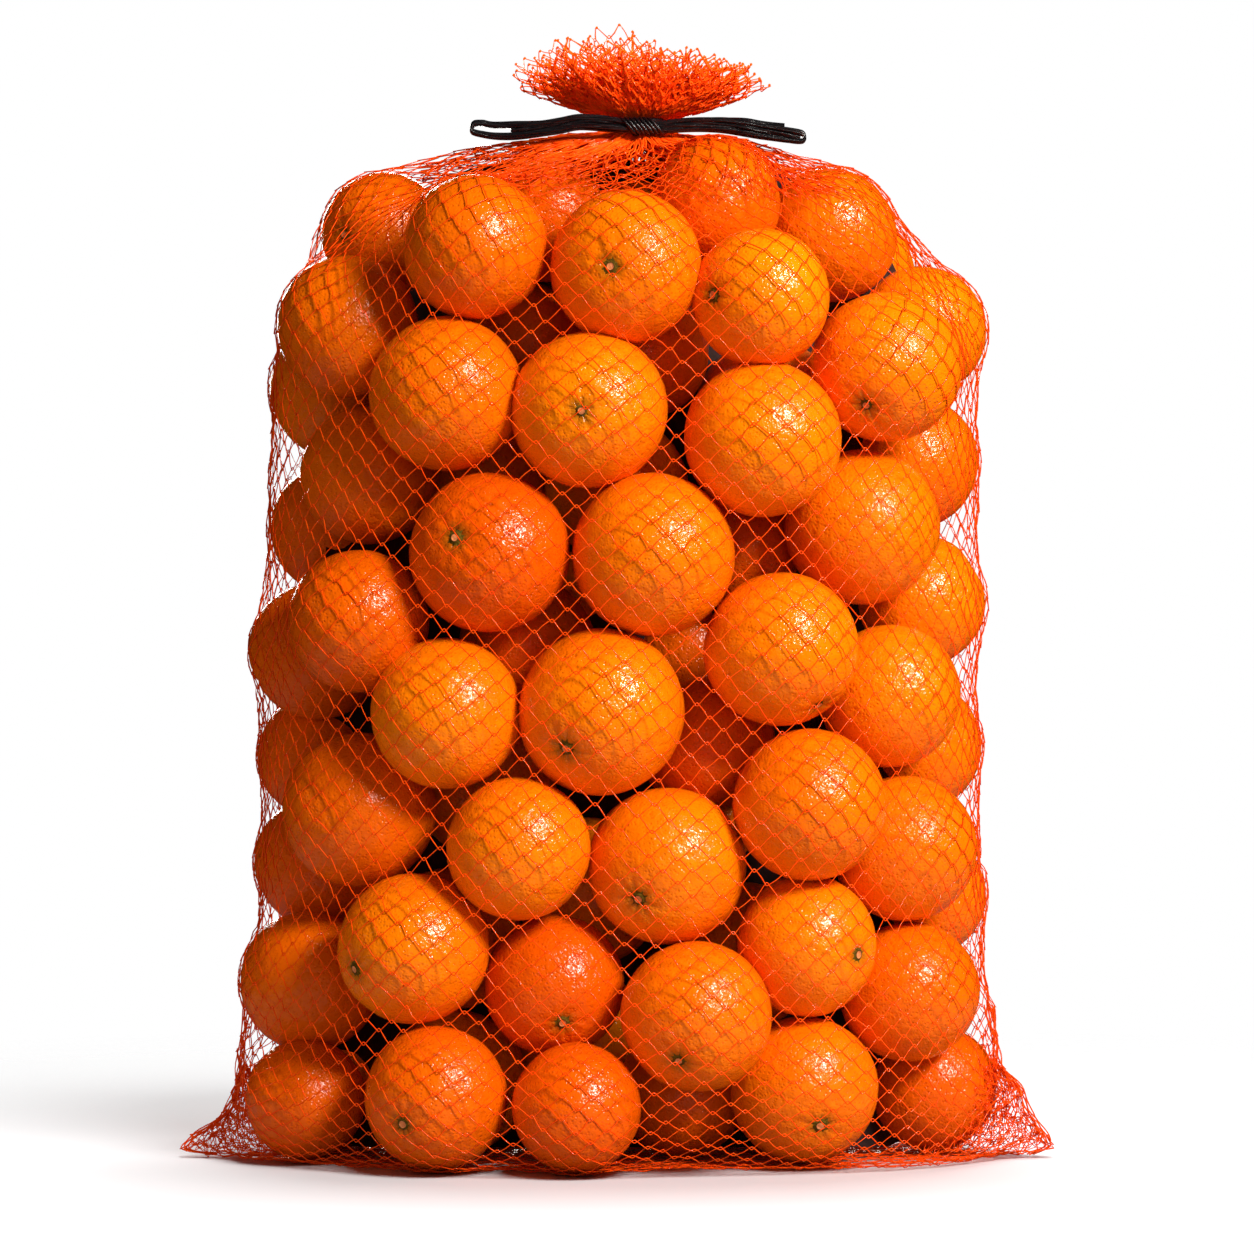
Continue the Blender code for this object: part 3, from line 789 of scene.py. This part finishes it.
def drawn_net():
    """The knots of the net, drawn tight over the fruit."""
    rng = np.random.default_rng(3)
    grid, eared = loose_net()
    ends = grid[0].copy(), grid[-1].copy()
    weights = np.ones((ROWS, AROUND, 1))
    weights[0] = weights[-1] = 0
    balls = np.concatenate([fruit, props()])
    slack = SLACK * (1 - eared)[..., None]
    for step in range(DRAW_STEPS):
        hold_length(grid, weights, STRAND, slack)
        grid[..., 2] -= WEIGHT * weights[..., 0]
        ease = PULL * np.clip((EASE_TOP - grid[..., 2]) / EASE_BAND, TOP_PULL, 1)
        ease = ease * (1 - eared) + EAR_PULL * eared
        grid += pulled(grid) * ease[..., None] * weights
        if step % 2 or step > DRAW_STEPS - 5:
            clear_of(grid.reshape(-1, 3), balls, SKIN)
        off_floor(grid)
        grid[0], grid[-1] = ends
    spread_to_edge(grid)
    grid += rng.normal(size=grid.shape) * (UNEVEN + eared[..., None] * EAR_CRUMPLE) * weights
    clear_of(grid.reshape(-1, 3), balls, SKIN)
    off_floor(grid)
    return grid


knots = drawn_net()
lengths = np.linalg.norm(knots[1:] - knots[:-1], axis=2)
print("strands from knot to knot in mm:", np.round(np.percentile(lengths, [1, 50, 99]) / MM, 1))

# %% [markdown]
# ## Pleats and ruff
#
# Below the tie the net is pinched into pleats, and above it the free end opens into a ruff: a shallow
# funnel, higher behind than in front, with deep flutes, because its edge is twice as long as the
# funnel's rim. The end of the tube is folded in before it is tied, so the ruff has more layers inside,
# and looks solid near the neck. Only its rim is one open layer, with a knot at each point.

# %% Pleats under the tie
PLEAT_DEPTH = 2.6 * MM
PLEAT_START, PLEAT_REACH = 12 * MM, 42 * MM   # where the pleats are deepest, and where they run out

from_neck = np.linalg.norm(knots - NECK, axis=2)
turn = (np.arange(AROUND)[None] + 0.5 * (np.arange(ROWS)[:, None] % 2)) / AROUND * 2 * math.pi
swell = np.clip(1 - from_neck / PLEAT_REACH, 0, 1) * np.clip(from_neck / PLEAT_START, 0, 1)
knots[..., 2] += PLEAT_DEPTH * swell * np.cos(NECK_PLEATS * turn)

# %% The ruff
RUFF_LAYERS = ((1.0, 0.0), (0.93, 2.1), (0.8, 4.0), (0.66, 5.2))   # size, and shift of the flutes
RUFF_AROUND = 54             # open meshes round each layer of the ruff
RUFF_ROWS = 13
RUFF_BASE = 517 * MM
RUFF_HALF_WIDTH, RUFF_HALF_DEPTH = 65 * MM, 38 * MM
RUFF_FLUTES = 9
FLUTE_DEPTH = 0.12           # as a share of the way out
FLUTE_FOLD = 4 * MM          # how far the flutes lean over sideways
FLUTE_LIFT = 2 * MM          # how far they rise and sink
END_RISE, BACK_RISE, FRONT_RISE = 18 * MM, 28 * MM, 15 * MM
NOTCH_DEPTH, NOTCH_AT, NOTCH_WIDTH = 9 * MM, 1.15, 0.3   # the last two in radians
RUFF_STRAY = 0.42 * MM
RIM_SHARE = 0.94             # where the last row of knots but one lies, as a share of the way to the rim


def ruff_rise(angle):
    """Height of the rim over the neck: low at the ends, high behind, with one notch to the right."""
    s = np.sin(angle)
    lean = np.where(s > 0, BACK_RISE, FRONT_RISE) * np.abs(s) ** 0.9
    aside = (angle - NOTCH_AT + math.pi) % (2 * math.pi) - math.pi
    notch = NOTCH_DEPTH * np.exp(-(aside / NOTCH_WIDTH) ** 2)
    return END_RISE + lean * (1 - 0.22 * np.cos(angle)) - notch


def on_ruff(size, swing, angle, share):
    """Points on a fluted layer of the ruff, at angles round it and shares of the way from neck to rim."""
    flute = RUFF_FLUTES * angle + 0.7 * np.sin(2 * angle + 1) + swing
    fold = FLUTE_FOLD * share * np.sin(2 * flute) / RUFF_HALF_WIDTH
    reach = share**0.9 * (1 + FLUTE_DEPTH * share * (np.cos(flute) - 1))
    wide = NECK_RADIUS + (size * RUFF_HALF_WIDTH - NECK_RADIUS) * reach
    deep = NECK_RADIUS + (size * RUFF_HALF_DEPTH - NECK_RADIUS) * reach
    up = RUFF_BASE + size * ruff_rise(angle) * share**1.4 - FLUTE_LIFT * share * np.cos(flute)
    return np.stack([NECK[0] + wide * np.cos(angle + fold), deep * np.sin(angle + fold), up], axis=-1)


def ruff_knots(size, swing, seed):
    """Rows of knots from the neck up to a rim."""
    rng = np.random.default_rng(seed)
    rows = []
    for k, share in enumerate([*np.linspace(0, RIM_SHARE, RUFF_ROWS), 1]):
        angle = (np.arange(RUFF_AROUND) + 0.5 * (k % 2)) / RUFF_AROUND * 2 * math.pi
        ring = on_ruff(size, swing, angle + swing / RUFF_AROUND, share)
        rows.append(ring + rng.normal(size=ring.shape) * RUFF_STRAY * min(1, 2 * share))
    return np.array(rows)


ruffs = [ruff_knots(size, swing, seed) for seed, (size, swing) in enumerate(RUFF_LAYERS, 8)]
for ruff in ruffs:
    print("ruff in mm:", np.round(ruff.min(axis=(0, 1)) / MM, 1), np.round(ruff.max(axis=(0, 1)) / MM, 1))

# %% [markdown]
# ## Strands between the knots
#
# The net isn't four strands that meet in a ball. Each row is one strand that zigzags round the tube,
# and where two rows meet, the bend of one is looped over the bend of the other, which leaves a tiny
# eye. So each row is drawn as one line with a blunt bend just past each knot, and the bends of
# two rows cross. The lines become curves with a thin bevel, which turns them into strands.

# %% Lines of the strands
EYE = 0.7 * MM               # how far a bend reaches past the knot's middle
BEND = 0.35 * MM             # half the blunt end of a bend
OVER = 0.2 * MM              # one bend lies this far over the other
STRAND_RADIUS = 0.27 * MM
RISING, FALLING = 0.85, 1.15  # how thick the strands are that lean to the right, and to the left
WANDER = 0.25 * MM           # how far the middle of a strand strays
BUNCHING = 2.2               # strands draw as thicker where many lie together, at the neck
BUNCH_REACH = 66 * MM


def knot_frames(grid):
    """Unit vectors at each knot: round the tube, up along it, and outwards."""
    side = np.roll(grid, -1, axis=1) - np.roll(grid, 1, axis=1)
    up = np.empty_like(grid)
    up[1:-1] = grid[2:] - grid[:-2]
    up[0], up[-1] = grid[1] - grid[0], grid[-1] - grid[-2]
    side /= np.linalg.norm(side, axis=2, keepdims=True) + 1e-12
    up -= (up * side).sum(axis=2, keepdims=True) * side
    up /= np.linalg.norm(up, axis=2, keepdims=True) + 1e-12
    return side, up, np.cross(side, up)


def strand_line(grid, frames, row, columns, rng):
    """The zigzag between a row of knots and the next: its points, and how thick it is there."""
    side, up, out = frames
    around = grid.shape[1]
    ends = []
    for i in columns:
        low, high = (row, i % around), (row + 1, (i + row % 2) % around)
        for knot, way in ((low, -1), (high, 1)):
            middle = grid[knot] + way * EYE * up[knot] - way * OVER * out[knot]
            ends += [middle - BEND * side[knot], middle + BEND * side[knot]]
    ends = np.array(ends)
    halves = (ends[1:-1:2] + ends[2::2]) / 2
    halves = clear_of(halves + rng.normal(size=halves.shape) * WANDER, fruit, SKIN)
    line = np.empty((len(ends) + len(halves), 3))
    line[0::3], line[1::3], line[2::3] = ends[0::2], ends[1::2], halves
    thick = np.ones(len(line))
    thick[2::6], thick[5::6] = RISING, FALLING
    from_neck = np.linalg.norm(line - NECK, axis=1)
    return line, thick * (1 + BUNCHING * np.clip(1 - from_neck / BUNCH_REACH, 0, 1))


def tubes(name, lines, radius, sides=0):
    """Thin tubes along some lines, as one mesh. Each line is its points, and how thick it is there."""
    curve = fresh(name, bpy.ops.curve.primitive_nurbs_path_add).data
    curve.splines.clear()
    for points, thick in lines:
        spline = curve.splines.new("POLY")
        spline.points.add(len(points) - 1)
        spline.points.foreach_set("co", np.column_stack([points, np.ones(len(points))]).ravel())
        spline.points.foreach_set("radius", thick)
    curve.bevel_depth = radius
    curve.bevel_resolution = sides
    curve.use_fill_caps = True
    bpy.ops.object.convert(target="MESH")
    bpy.ops.object.shade_smooth()
    return bpy.context.object


def strands(name, grid, rows, columns):
    """All the strands over some rows and columns of knots."""
    rng = np.random.default_rng(21)
    frames = knot_frames(grid)
    return tubes(name, [strand_line(grid, frames, row, columns, rng) for row in rows], STRAND_RADIUS)


# %% Make the strands, front and back
net_front = strands("net_front", knots, range(0, ROWS - 1), range(AROUND // 2, AROUND + 1))
net_back = strands("net_back", knots, range(0, ROWS - 1), range(0, AROUND // 2 + 1))

# %% Make the folds that hang inside the pleats
FOLD_ROWS = 12
FOLD_DROP = 2.5 * MM         # how far each fold hangs under the one before
FOLD_STRAY = 1.6 * MM
FOLD_START = 20 * MM         # they start to hang this far from the neck
rng = np.random.default_rng(41)
folds = []
for k in (1, 2):
    loose = np.clip(np.linalg.norm(knots - NECK, axis=2)[..., None] / FOLD_START, 0, 1)
    fold = knots + loose * (rng.normal(size=knots.shape) * FOLD_STRAY - np.array((0, 0, k * FOLD_DROP)))
    folds.append(strands(f"fold_{k}", fold, range(ROWS - FOLD_ROWS, ROWS - 1), range(AROUND + 1)))
net_folds = joined("net_folds", *folds)

# %% Make the strands of the ruff, with a knot at each point of its rim
BEAD_RADIUS = 0.8 * MM
layers = [strands(f"ruff_{k}", ruff, range(RUFF_ROWS), range(RUFF_AROUND + 1))
          for k, ruff in enumerate(ruffs)]
beads = []
for knot in np.concatenate([ruff[-1] for ruff in ruffs[:2]]):
    bpy.ops.mesh.primitive_ico_sphere_add(subdivisions=1, radius=BEAD_RADIUS, location=knot + (0, 0, EYE))
    beads.append(bpy.context.object)

# %% The gathered strands just above and just below the tie
GATHERS = 260                # strands that lie side by side in the ruff's lower part
GATHER_ENDS = (0.42, 0.74)   # how far up the ruff they show, as shares of the way to the rim
GATHER_THICK = (1.1, 1.8)    # how thick they start, in strands
GATHER_POINTS = 9
GATHER_STRAY = 0.3 * MM
PLEATED = 170                # and in the pleats under the tie
PLEATED_ROWS = (1.8, 4.2)    # how many rows of knots they run down over


def on_net(column, rows_down):
    """A point of the drawn net, at a fraction of a column and of a row below the neck."""
    places = []
    for row in (ROWS - 1 - math.floor(rows_down), ROWS - 2 - math.floor(rows_down)):
        at = column - 0.5 * (row % 2)
        first, part = math.floor(at), at % 1
        places.append(knots[row, first % AROUND] * (1 - part) + knots[row, (first + 1) % AROUND] * part)
    return places[0] * (1 - rows_down % 1) + places[1] * (rows_down % 1)


def gather(line, start):
    """Adds a strand along a line. It is thickest where it starts, at the neck."""
    thick = rng.uniform(*GATHER_THICK) * np.linspace(start, 0.6, GATHER_POINTS)
    gathered.append((line + rng.normal(size=line.shape) * GATHER_STRAY, thick))


rng = np.random.default_rng(51)
gathered = []
for k in range(GATHERS):
    angle = 2 * math.pi * (k + rng.uniform(-0.4, 0.4)) / GATHERS
    share = np.linspace(0.02, rng.uniform(*GATHER_ENDS), GATHER_POINTS)
    gather(on_ruff(*RUFF_LAYERS[k % 3], angle + 0.02 * np.sin(9 * share + k), share), 1)
for k in range(PLEATED):
    column = AROUND * (k + rng.uniform(-0.4, 0.4)) / PLEATED
    sideways = abs(math.cos(2 * math.pi * column / AROUND + LEAN))
    run = np.linspace(0.1, rng.uniform(*PLEATED_ROWS) * (1 + 0.5 * sideways), GATHER_POINTS)
    gather(np.array([on_net(column, down) for down in run]) + (0, 0, 0.4 * MM), 1.2)
gathers = tubes("gathers", gathered, STRAND_RADIUS)
net_ruff = joined("net_ruff", *beads, *layers, gathers)

# %% [markdown]
# ## The ears
#
# Where the flattened tube folds over, at the outer edge of each ear, its meshes shut and their strands lie
# side by side as one doubled cord. Inside that edge the net is slack, with several layers on each other.
# Nothing draws it tight there, so it is laid as lace: a small grid of knots of its own between the
# cord and the fruit, crumpled by a little stray.

# %% The doubled edges of the ears
SMOOTHING = 6                # points between two places of a route


def smooth_through(places):
    """A smooth line that passes through every one of the places."""
    p = np.array(places, float)
    p = np.concatenate([[2 * p[0] - p[1]], p, [2 * p[-1] - p[-2]]])
    line = []
    for a, b, c, d in zip(p, p[1:], p[2:], p[3:]):
        for t in np.arange(SMOOTHING) / SMOOTHING:
            line.append(0.5 * (2 * b + (c - a) * t + (2 * a - 5 * b + 4 * c - d) * t**2
                               + (3 * b - 3 * c + d - a) * t**3))
    return np.array(line + [p[-2]])


EDGE_CORDS = 5
EDGE_THICK = 1.4             # in strands
EDGE_SPREAD = 1.6 * MM       # how far the cords stray to the front and back
EDGE_SWAY = 0.5 * MM         # and sideways
EDGE_GAP = 0.8               # from one cord to the next, in millimetres
EDGE_FOOT = (205, 1.2)       # where they come from under the fruit: distance from the middle, and height
EDGE_TOP = {-1: (187, 80), 1: (184, 76)}   # where they run back into the net
edge_lines = []
for side, edge in EARS.items():
    turned_in = (EDGE_FOOT, *edge[:6], EDGE_TOP[side])
    for k in range(EDGE_CORDS):
        route = smooth_through([(side * (out - EDGE_GAP * k) * MM, 0, up * MM) for out, up in turned_in])
        wave = np.arange(len(route))
        route[:, 1] += EDGE_SPREAD * np.sin(0.55 * wave + 1.7 * k)
        route[:, 0] += EDGE_SWAY * np.sin(0.8 * wave + 2.3 * k)
        off_floor(route)
        edge_lines.append((route, np.full(len(route), EDGE_THICK)))
cords = tubes("cords", edge_lines, STRAND_RADIUS)

# %% Slack lace that fills the ears, between the outer edge and the fruit
LACE_ROWS = 15               # rows of knots from the tip up along the outer edge
LACE_REACH = 0.56            # the share of that edge they go up
LACE_COLUMNS = 16            # knots from the outer edge in
LACE_LAYERS = 2
LACE_APART = 2 * MM          # how far each layer lies from the middle, to the front and back
LACE_INNER = ((146, 1), (160, 14), (178, 44))   # where the inner ends of the rows lie, from the tip's row up
LACE_STRAY = np.array((0.8, 2.6, 0.9)) * MM

rng = np.random.default_rng(31)
rows, columns = np.arange(LACE_ROWS)[:, None], np.arange(LACE_COLUMNS)
along = rows / (LACE_ROWS - 1) * np.ones(LACE_COLUMNS)
inward = (columns + 0.5 * (rows % 2) - 0.6) / (LACE_COLUMNS - 2.6)
inner_out, inner_up = (np.interp(along, (0, 0.4, 1), places) for places in np.array(LACE_INNER).T * MM)
layers = []
for side in EARS:
    outer = along_ear(side, LACE_REACH * along)
    inner = np.stack([side * inner_out, 0 * along, inner_up], axis=-1)
    for k in range(LACE_LAYERS):
        lace = outer + (inner - outer) * inward[..., None] + (0, (2 * k - 1) * LACE_APART, 0)
        lace += rng.normal(size=lace.shape) * LACE_STRAY
        off_floor(lace)
        layers.append(strands(f"lace_{side}_{k}", lace, range(LACE_ROWS - 1), range(1, LACE_COLUMNS - 2)))
net_ears = joined("net_ears", *layers, cords)

# %% [markdown]
# ## The tie
#
# A hank of black plastic strands is wound round the neck and knotted in front, with two tails. The left
# tail ends in an open loop and the right one is folded back, with one strand cut short. It could be
# one thick tube, but the streaks of single strands are what it is known by. So each strand is a
# curve of its own along a shared route, and the bundle turns slowly about that route.

# %% Strand routes of the tie
TIE_HEIGHT = 512
TIE_FRONT = -15.5
# Across from the neck and up from the tie's height, in millimetres, with the ends folded back.
LEFT_LOOP = ((8, 1.0), (-6, 1.6), (-17.5, 3.2), (-30, 3.9), (-40, 2.2), (-50, 0.9), (-62, 0.9), (-73, 0.6),
             (-78, 1.5), (-82, 1.2), (-83.4, -0.6), (-83, -2.6), (-78, -4.0), (-72, -5.0), (-62, -4.9),
             (-50, -3.3), (-40, -1.9), (-30, 0.2), (-17.5, -0.4), (-6, -1.1), (8, -1.4))
LEFT_MIDDLE = ((8, 0), (-6, 0.2), (-17.5, 1.5), (-30, 2.2), (-40, 0.3), (-50, -1.0), (-58, -1.7),
               (-64, -2.1))
RIGHT_LOOP = ((-6, 0.6), (4, 0.8), (11, 1.0), (22, 2.0), (32, 2.4), (42, 2.3), (52, 1.4), (60, 0.2),
              (72, -1.7), (79, -3.0), (81.2, -4.2), (81.4, -6.2), (79.5, -7.4), (72, -6.6), (60, -4.6),
              (52, -3.0), (42, -1.5), (32, -0.9), (22, -0.9), (11, -1.4), (4, -1.5), (-6, -1.5))
RIGHT_SHORT = ((-6, 1.0), (4, 1.2), (11, 1.4), (22, 2.6), (32, 3.0), (42, 3.0), (52, 2.4), (60, 1.5),
               (71.5, 0.2))
RIGHT_MIDDLE = ((-6, 0), (4, 0), (11, 0), (22, 0.6), (32, 0.8), (42, 0.4), (52, -0.8), (60, -2.2),
                (72, -4.0), (79.3, -5.3))
FILAMENT = 0.78 * MM         # radius of one strand of the tie
# Each bundle's route, number of strands, half size in millimetres, turns over its length, and seed.
BUNDLES = ((LEFT_LOOP, 8, 1.5, 0.5, 1), (LEFT_MIDDLE, 6, 1.3, 0.5, 5), (RIGHT_LOOP, 8, 1.45, 0.5, 2),
           (RIGHT_SHORT, 5, 0.9, 0.4, 3), (RIGHT_MIDDLE, 6, 1.4, 0.5, 4))


def bundle(route, count, spread, turns, seed):
    """Strands set round one route and slowly turning about it. Far out they lie closer."""
    rng = np.random.default_rng(seed)
    places = [(NECK[0] / MM + across, TIE_FRONT, TIE_HEIGHT + up) for across, up in route]
    middle = smooth_through(places) * MM
    far = np.abs(middle[:, 0] - NECK[0]) / MM
    ring = spread * MM * np.interp(far, (0, 52, 66, 86), (1, 1, 0.72, 0.6))
    along = np.linspace(0, 1, len(middle))
    made = []
    for k in range(count):
        angle = 2 * math.pi * (k / count + turns * along + rng.uniform(-0.05, 0.05))
        stray = 0.18 * MM * np.sin(along * rng.uniform(18, 30) + rng.uniform(0, 6))
        out = ring + stray
        beside = np.stack([0 * angle, out * 1.4 * np.cos(angle), out * np.sin(angle)], axis=1)
        made.append((middle + beside, rng.uniform(0.85, 1.15) + 0 * along))
    return made


# %% Tails, windings and knot
tails = tubes("tails", [strand for values in BUNDLES for strand in bundle(*values)], FILAMENT, 1)


def helix(points, turn, place):
    """Points of a winding. place gives one of them from its angle and its share of the way."""
    return np.array([place(2 * math.pi * n / turn, n / points) for n in range(points)]) * MM


def on_winding(angle, share):
    """The strands wound round the neck."""
    radius = 11.0 + 0.9 * math.sin(0.9 * angle)
    return NECK[0] / MM + radius * math.cos(angle), radius * math.sin(angle), TIE_HEIGHT - 3.6 + 7.2 * share


def on_coil(angle, share):
    """The finer strand twisted round both tails in front."""
    return (NECK[0] / MM - 7 + 16 * share - 3.2 * math.sin(angle), TIE_FRONT + 3.6 * math.cos(angle),
            TIE_HEIGHT + 0.2 + 3.9 * math.sin(angle))


winding, coil = helix(105, 20, on_winding), helix(127, 18, on_coil)
WINDING_THICK, COIL_THICK = 1.7, 0.75   # in millimetres
windings = tubes("windings", [(winding, np.full(len(winding), WINDING_THICK)),
                              (coil, np.full(len(coil), COIL_THICK))], 1.0 * MM, 2)
tie = joined("tie_strands", windings, tails)

# %% [markdown]
# ## Materials
#
# Peel, stem, net and tie all vary a little from place to place. That unevenness is one node group, which
# each material uses with a scale and contrast of its own.

# %% A shared group for uneven tone
uneven = bpy.data.node_groups.new("uneven_tone", "ShaderNodeTree")
for name, way, kind in (("Scale", "INPUT", "Float"), ("Contrast", "INPUT", "Float"),
                        ("Vector", "INPUT", "Vector"), ("Mask", "OUTPUT", "Float")):
    uneven.interface.new_socket(name, in_out=way, socket_type="NodeSocket" + kind)
given = node(uneven, "NodeGroupInput").outputs
cloud = node(uneven, "ShaderNodeTexNoise", Detail=3.0, Roughness=0.6)
feed(uneven, cloud.inputs["Vector"], given["Vector"])
feed(uneven, cloud.inputs["Scale"], given["Scale"])
centred = node(uneven, "ShaderNodeMath", operation="SUBTRACT")
feed(uneven, centred.inputs[0], cloud.outputs["Fac"])
feed(uneven, centred.inputs[1], 0.5)
stretched = node(uneven, "ShaderNodeMath", operation="MULTIPLY_ADD", use_clamp=True)
for i, value in enumerate((centred.outputs[0], given["Contrast"], 0.5)):
    feed(uneven, stretched.inputs[i], value)
feed(uneven, node(uneven, "NodeGroupOutput").inputs["Mask"], stretched.outputs[0])


def uneven_tone(tree, spot, scale, contrast):
    """The mask of the shared group, with values of its own."""
    made = node(tree, "ShaderNodeGroup", node_tree=uneven)
    for key, value in (("Vector", spot), ("Scale", scale), ("Contrast", contrast)):
        feed(tree, made.inputs[key], value)
    return made.outputs["Mask"]


def height_of(tree, value, times, lower):
    """A height times a number, on top of another height."""
    made = node(tree, "ShaderNodeMath", operation="MULTIPLY_ADD")
    for i, part in enumerate((value, times, lower)):
        feed(tree, made.inputs[i], part)
    return made.outputs[0]


def finish(tree, shader, colour, roughness, height, strength, distance, shine=0.5):
    """Gives a shader its colour, roughness and shine, and the bumps of a height."""
    bump = node(tree, "ShaderNodeBump", Strength=strength, Distance=distance)
    feed(tree, bump.inputs["Height"], height)
    for key, value in (("Base Color", colour), ("Roughness", roughness), ("Specular IOR Level", shine),
                       ("Normal", bump.outputs["Normal"])):
        feed(tree, shader.inputs[key], value)


# %% [markdown]
# ### Peel
#
# Peel is full of small oil pits, just under two millimetres apart, on a skin that swells a little
# between them. Its wax gives broken, sparkling highlights. Voronoi cells make the pits, with their floors
# painted darker and redder as shade, two noises the swelling, and the stem attribute a greenish tinge near
# the button.

# %% Peel material
peel, tree, shader, spot = new_material("orange_peel")
tone, stem_way = (node(tree, "ShaderNodeAttribute", attribute_name=name).outputs["Fac"]
                  for name in ("tone", "from_stem"))
pits = node(tree, "ShaderNodeTexVoronoi", Scale=560.0, Randomness=1.0)
feed(tree, pits.inputs["Vector"], spot)
from_pit = pits.outputs["Distance"]
swelling = uneven_tone(tree, spot, 210.0, 1.6)
rolling = uneven_tone(tree, spot, 75.0, 1.2)
blotches = uneven_tone(tree, spot, 22.0, 1.8)

# A low tone gives a darker, redder peel; on the fruit set back in the gaps it also stands for painted shade.
ripe = mix_colour(tree, tone, (0.76, 0.078, 0.0003), (0.95, 0.245, 0.001))
redder = mix_colour(tree, tone, (0.74, 0.088, 0.0003), (0.92, 0.165, 0.0006))
ripe = mix_colour(tree, blotches, ripe, redder)
fleck = window(tree, stem_way, 6.0, 15.0, 0.55)   # the greenish tinge round the stem, in degrees from it
ripe = mix_colour(tree, fleck, ripe, (0.22, 0.105, 0.004))
# The floors of the pits are darker and redder: painted shade in the recesses.
painted_pit_shade = mix_colour(tree, 1.0, ripe, (0.98, 0.84, 0.8), "MULTIPLY")
pitted = mix_colour(tree, window(tree, from_pit, 0.08, 0.42, 0.0, 1.0), painted_pit_shade, ripe)
height = height_of(tree, swelling, 1.5, window(tree, from_pit, 0.05, 0.5, 0.0, 0.6))
height = height_of(tree, rolling, 2.2, height)
waxy = window(tree, blotches, 0.0, 1.0, 0.15, 0.22)
finish(tree, shader, pitted, waxy, height, 0.8, 0.5 * MM, shine=0.36)

# %% Core material
# The core's near-black colour is painted shade: it stands for the fruit deep in the pile, in its own shade.
deep, tree, shader, spot = new_material("painted_shade_peel")
shade = mix_colour(tree, uneven_tone(tree, spot, 30.0, 1.6), (0.008, 0.001, 0.0003), (0.03, 0.004, 0.0005))
grain = node(tree, "ShaderNodeTexNoise", Scale=420.0, Detail=2.0)
feed(tree, grain.inputs["Vector"], spot)
finish(tree, shader, shade, 0.75, grain.outputs["Fac"], 0.6, 0.6 * MM)

# %% Stem material
stem, tree, shader, spot = new_material("stem_end")
rim = node(tree, "ShaderNodeAttribute", attribute_name="from_stem").outputs["Fac"]
dry = uneven_tone(tree, spot, 900.0, 2.2)
lobes = mix_colour(tree, dry, (0.055, 0.036, 0.003), (0.19, 0.11, 0.010))
scar = mix_colour(tree, dry, (0.62, 0.19, 0.06), (0.85, 0.30, 0.11))
collar = mix_colour(tree, window(tree, rim, 0.30, 0.46), lobes, (0.045, 0.022, 0.003))
scarred = mix_colour(tree, window(tree, rim, 0.27, 0.36), collar, scar)
finish(tree, shader, scarred, 0.8, dry, 0.7, 0.4 * MM, shine=0.06)

# %% [markdown]
# ### Net and tie
#
# The net is dyed polyethylene: a saturated red-orange with a soft shine. The tie is black film twisted into
# strands, with a sharper shine that breaks up in streaks along its length.

# %% Net material
net_plastic, tree, shader, spot = new_material("net_plastic")
worn = uneven_tone(tree, spot, 260.0, 2.0)
red = mix_colour(tree, worn, (0.90, 0.042, 0.002), (0.97, 0.105, 0.004))
fibres = node(tree, "ShaderNodeTexNoise", Scale=2600.0, Detail=1.0)
feed(tree, fibres.inputs["Vector"], spot)
shiny = window(tree, worn, 0.0, 1.0, 0.1, 0.2)
finish(tree, shader, red, shiny, fibres.outputs["Fac"], 0.2, 0.1 * MM, shine=0.22)

# %% Tie material
tie_plastic, tree, shader, spot = new_material("tie_plastic")
along = node(tree, "ShaderNodeMapping", Scale=(0.06, 1.0, 1.0))
feed(tree, along.inputs["Vector"], spot)
streaks = uneven_tone(tree, along.outputs["Vector"], 1500.0, 2.0)
black = mix_colour(tree, streaks, (0.002, 0.002, 0.003), (0.008, 0.007, 0.008))
finish(tree, shader, black, window(tree, streaks, 0.0, 1.0, 0.16, 0.32), streaks, 0.5, 0.3 * MM)

# %% Hand in the pieces
hand_in(oranges, "net_of_oranges", peel)
hand_in(core, "net_of_oranges", deep)
hand_in(buttons, "net_of_oranges", stem)
for piece in (net_front, net_back, net_folds, net_ruff, net_ears):
    hand_in(piece, "net_of_oranges", net_plastic)
hand_in(tie, "tie", tie_plastic)

# %% A lamp for the ruff, which glows in a bright room because its plastic lets light through
only_ruff = bpy.data.collections.new("only_ruff")
only_ruff.objects.link(net_ruff)
softbox("ruff_light", (0.3, -1.2, 2.2), 1.0, 88).light_linking.receiver_collection = only_ruff
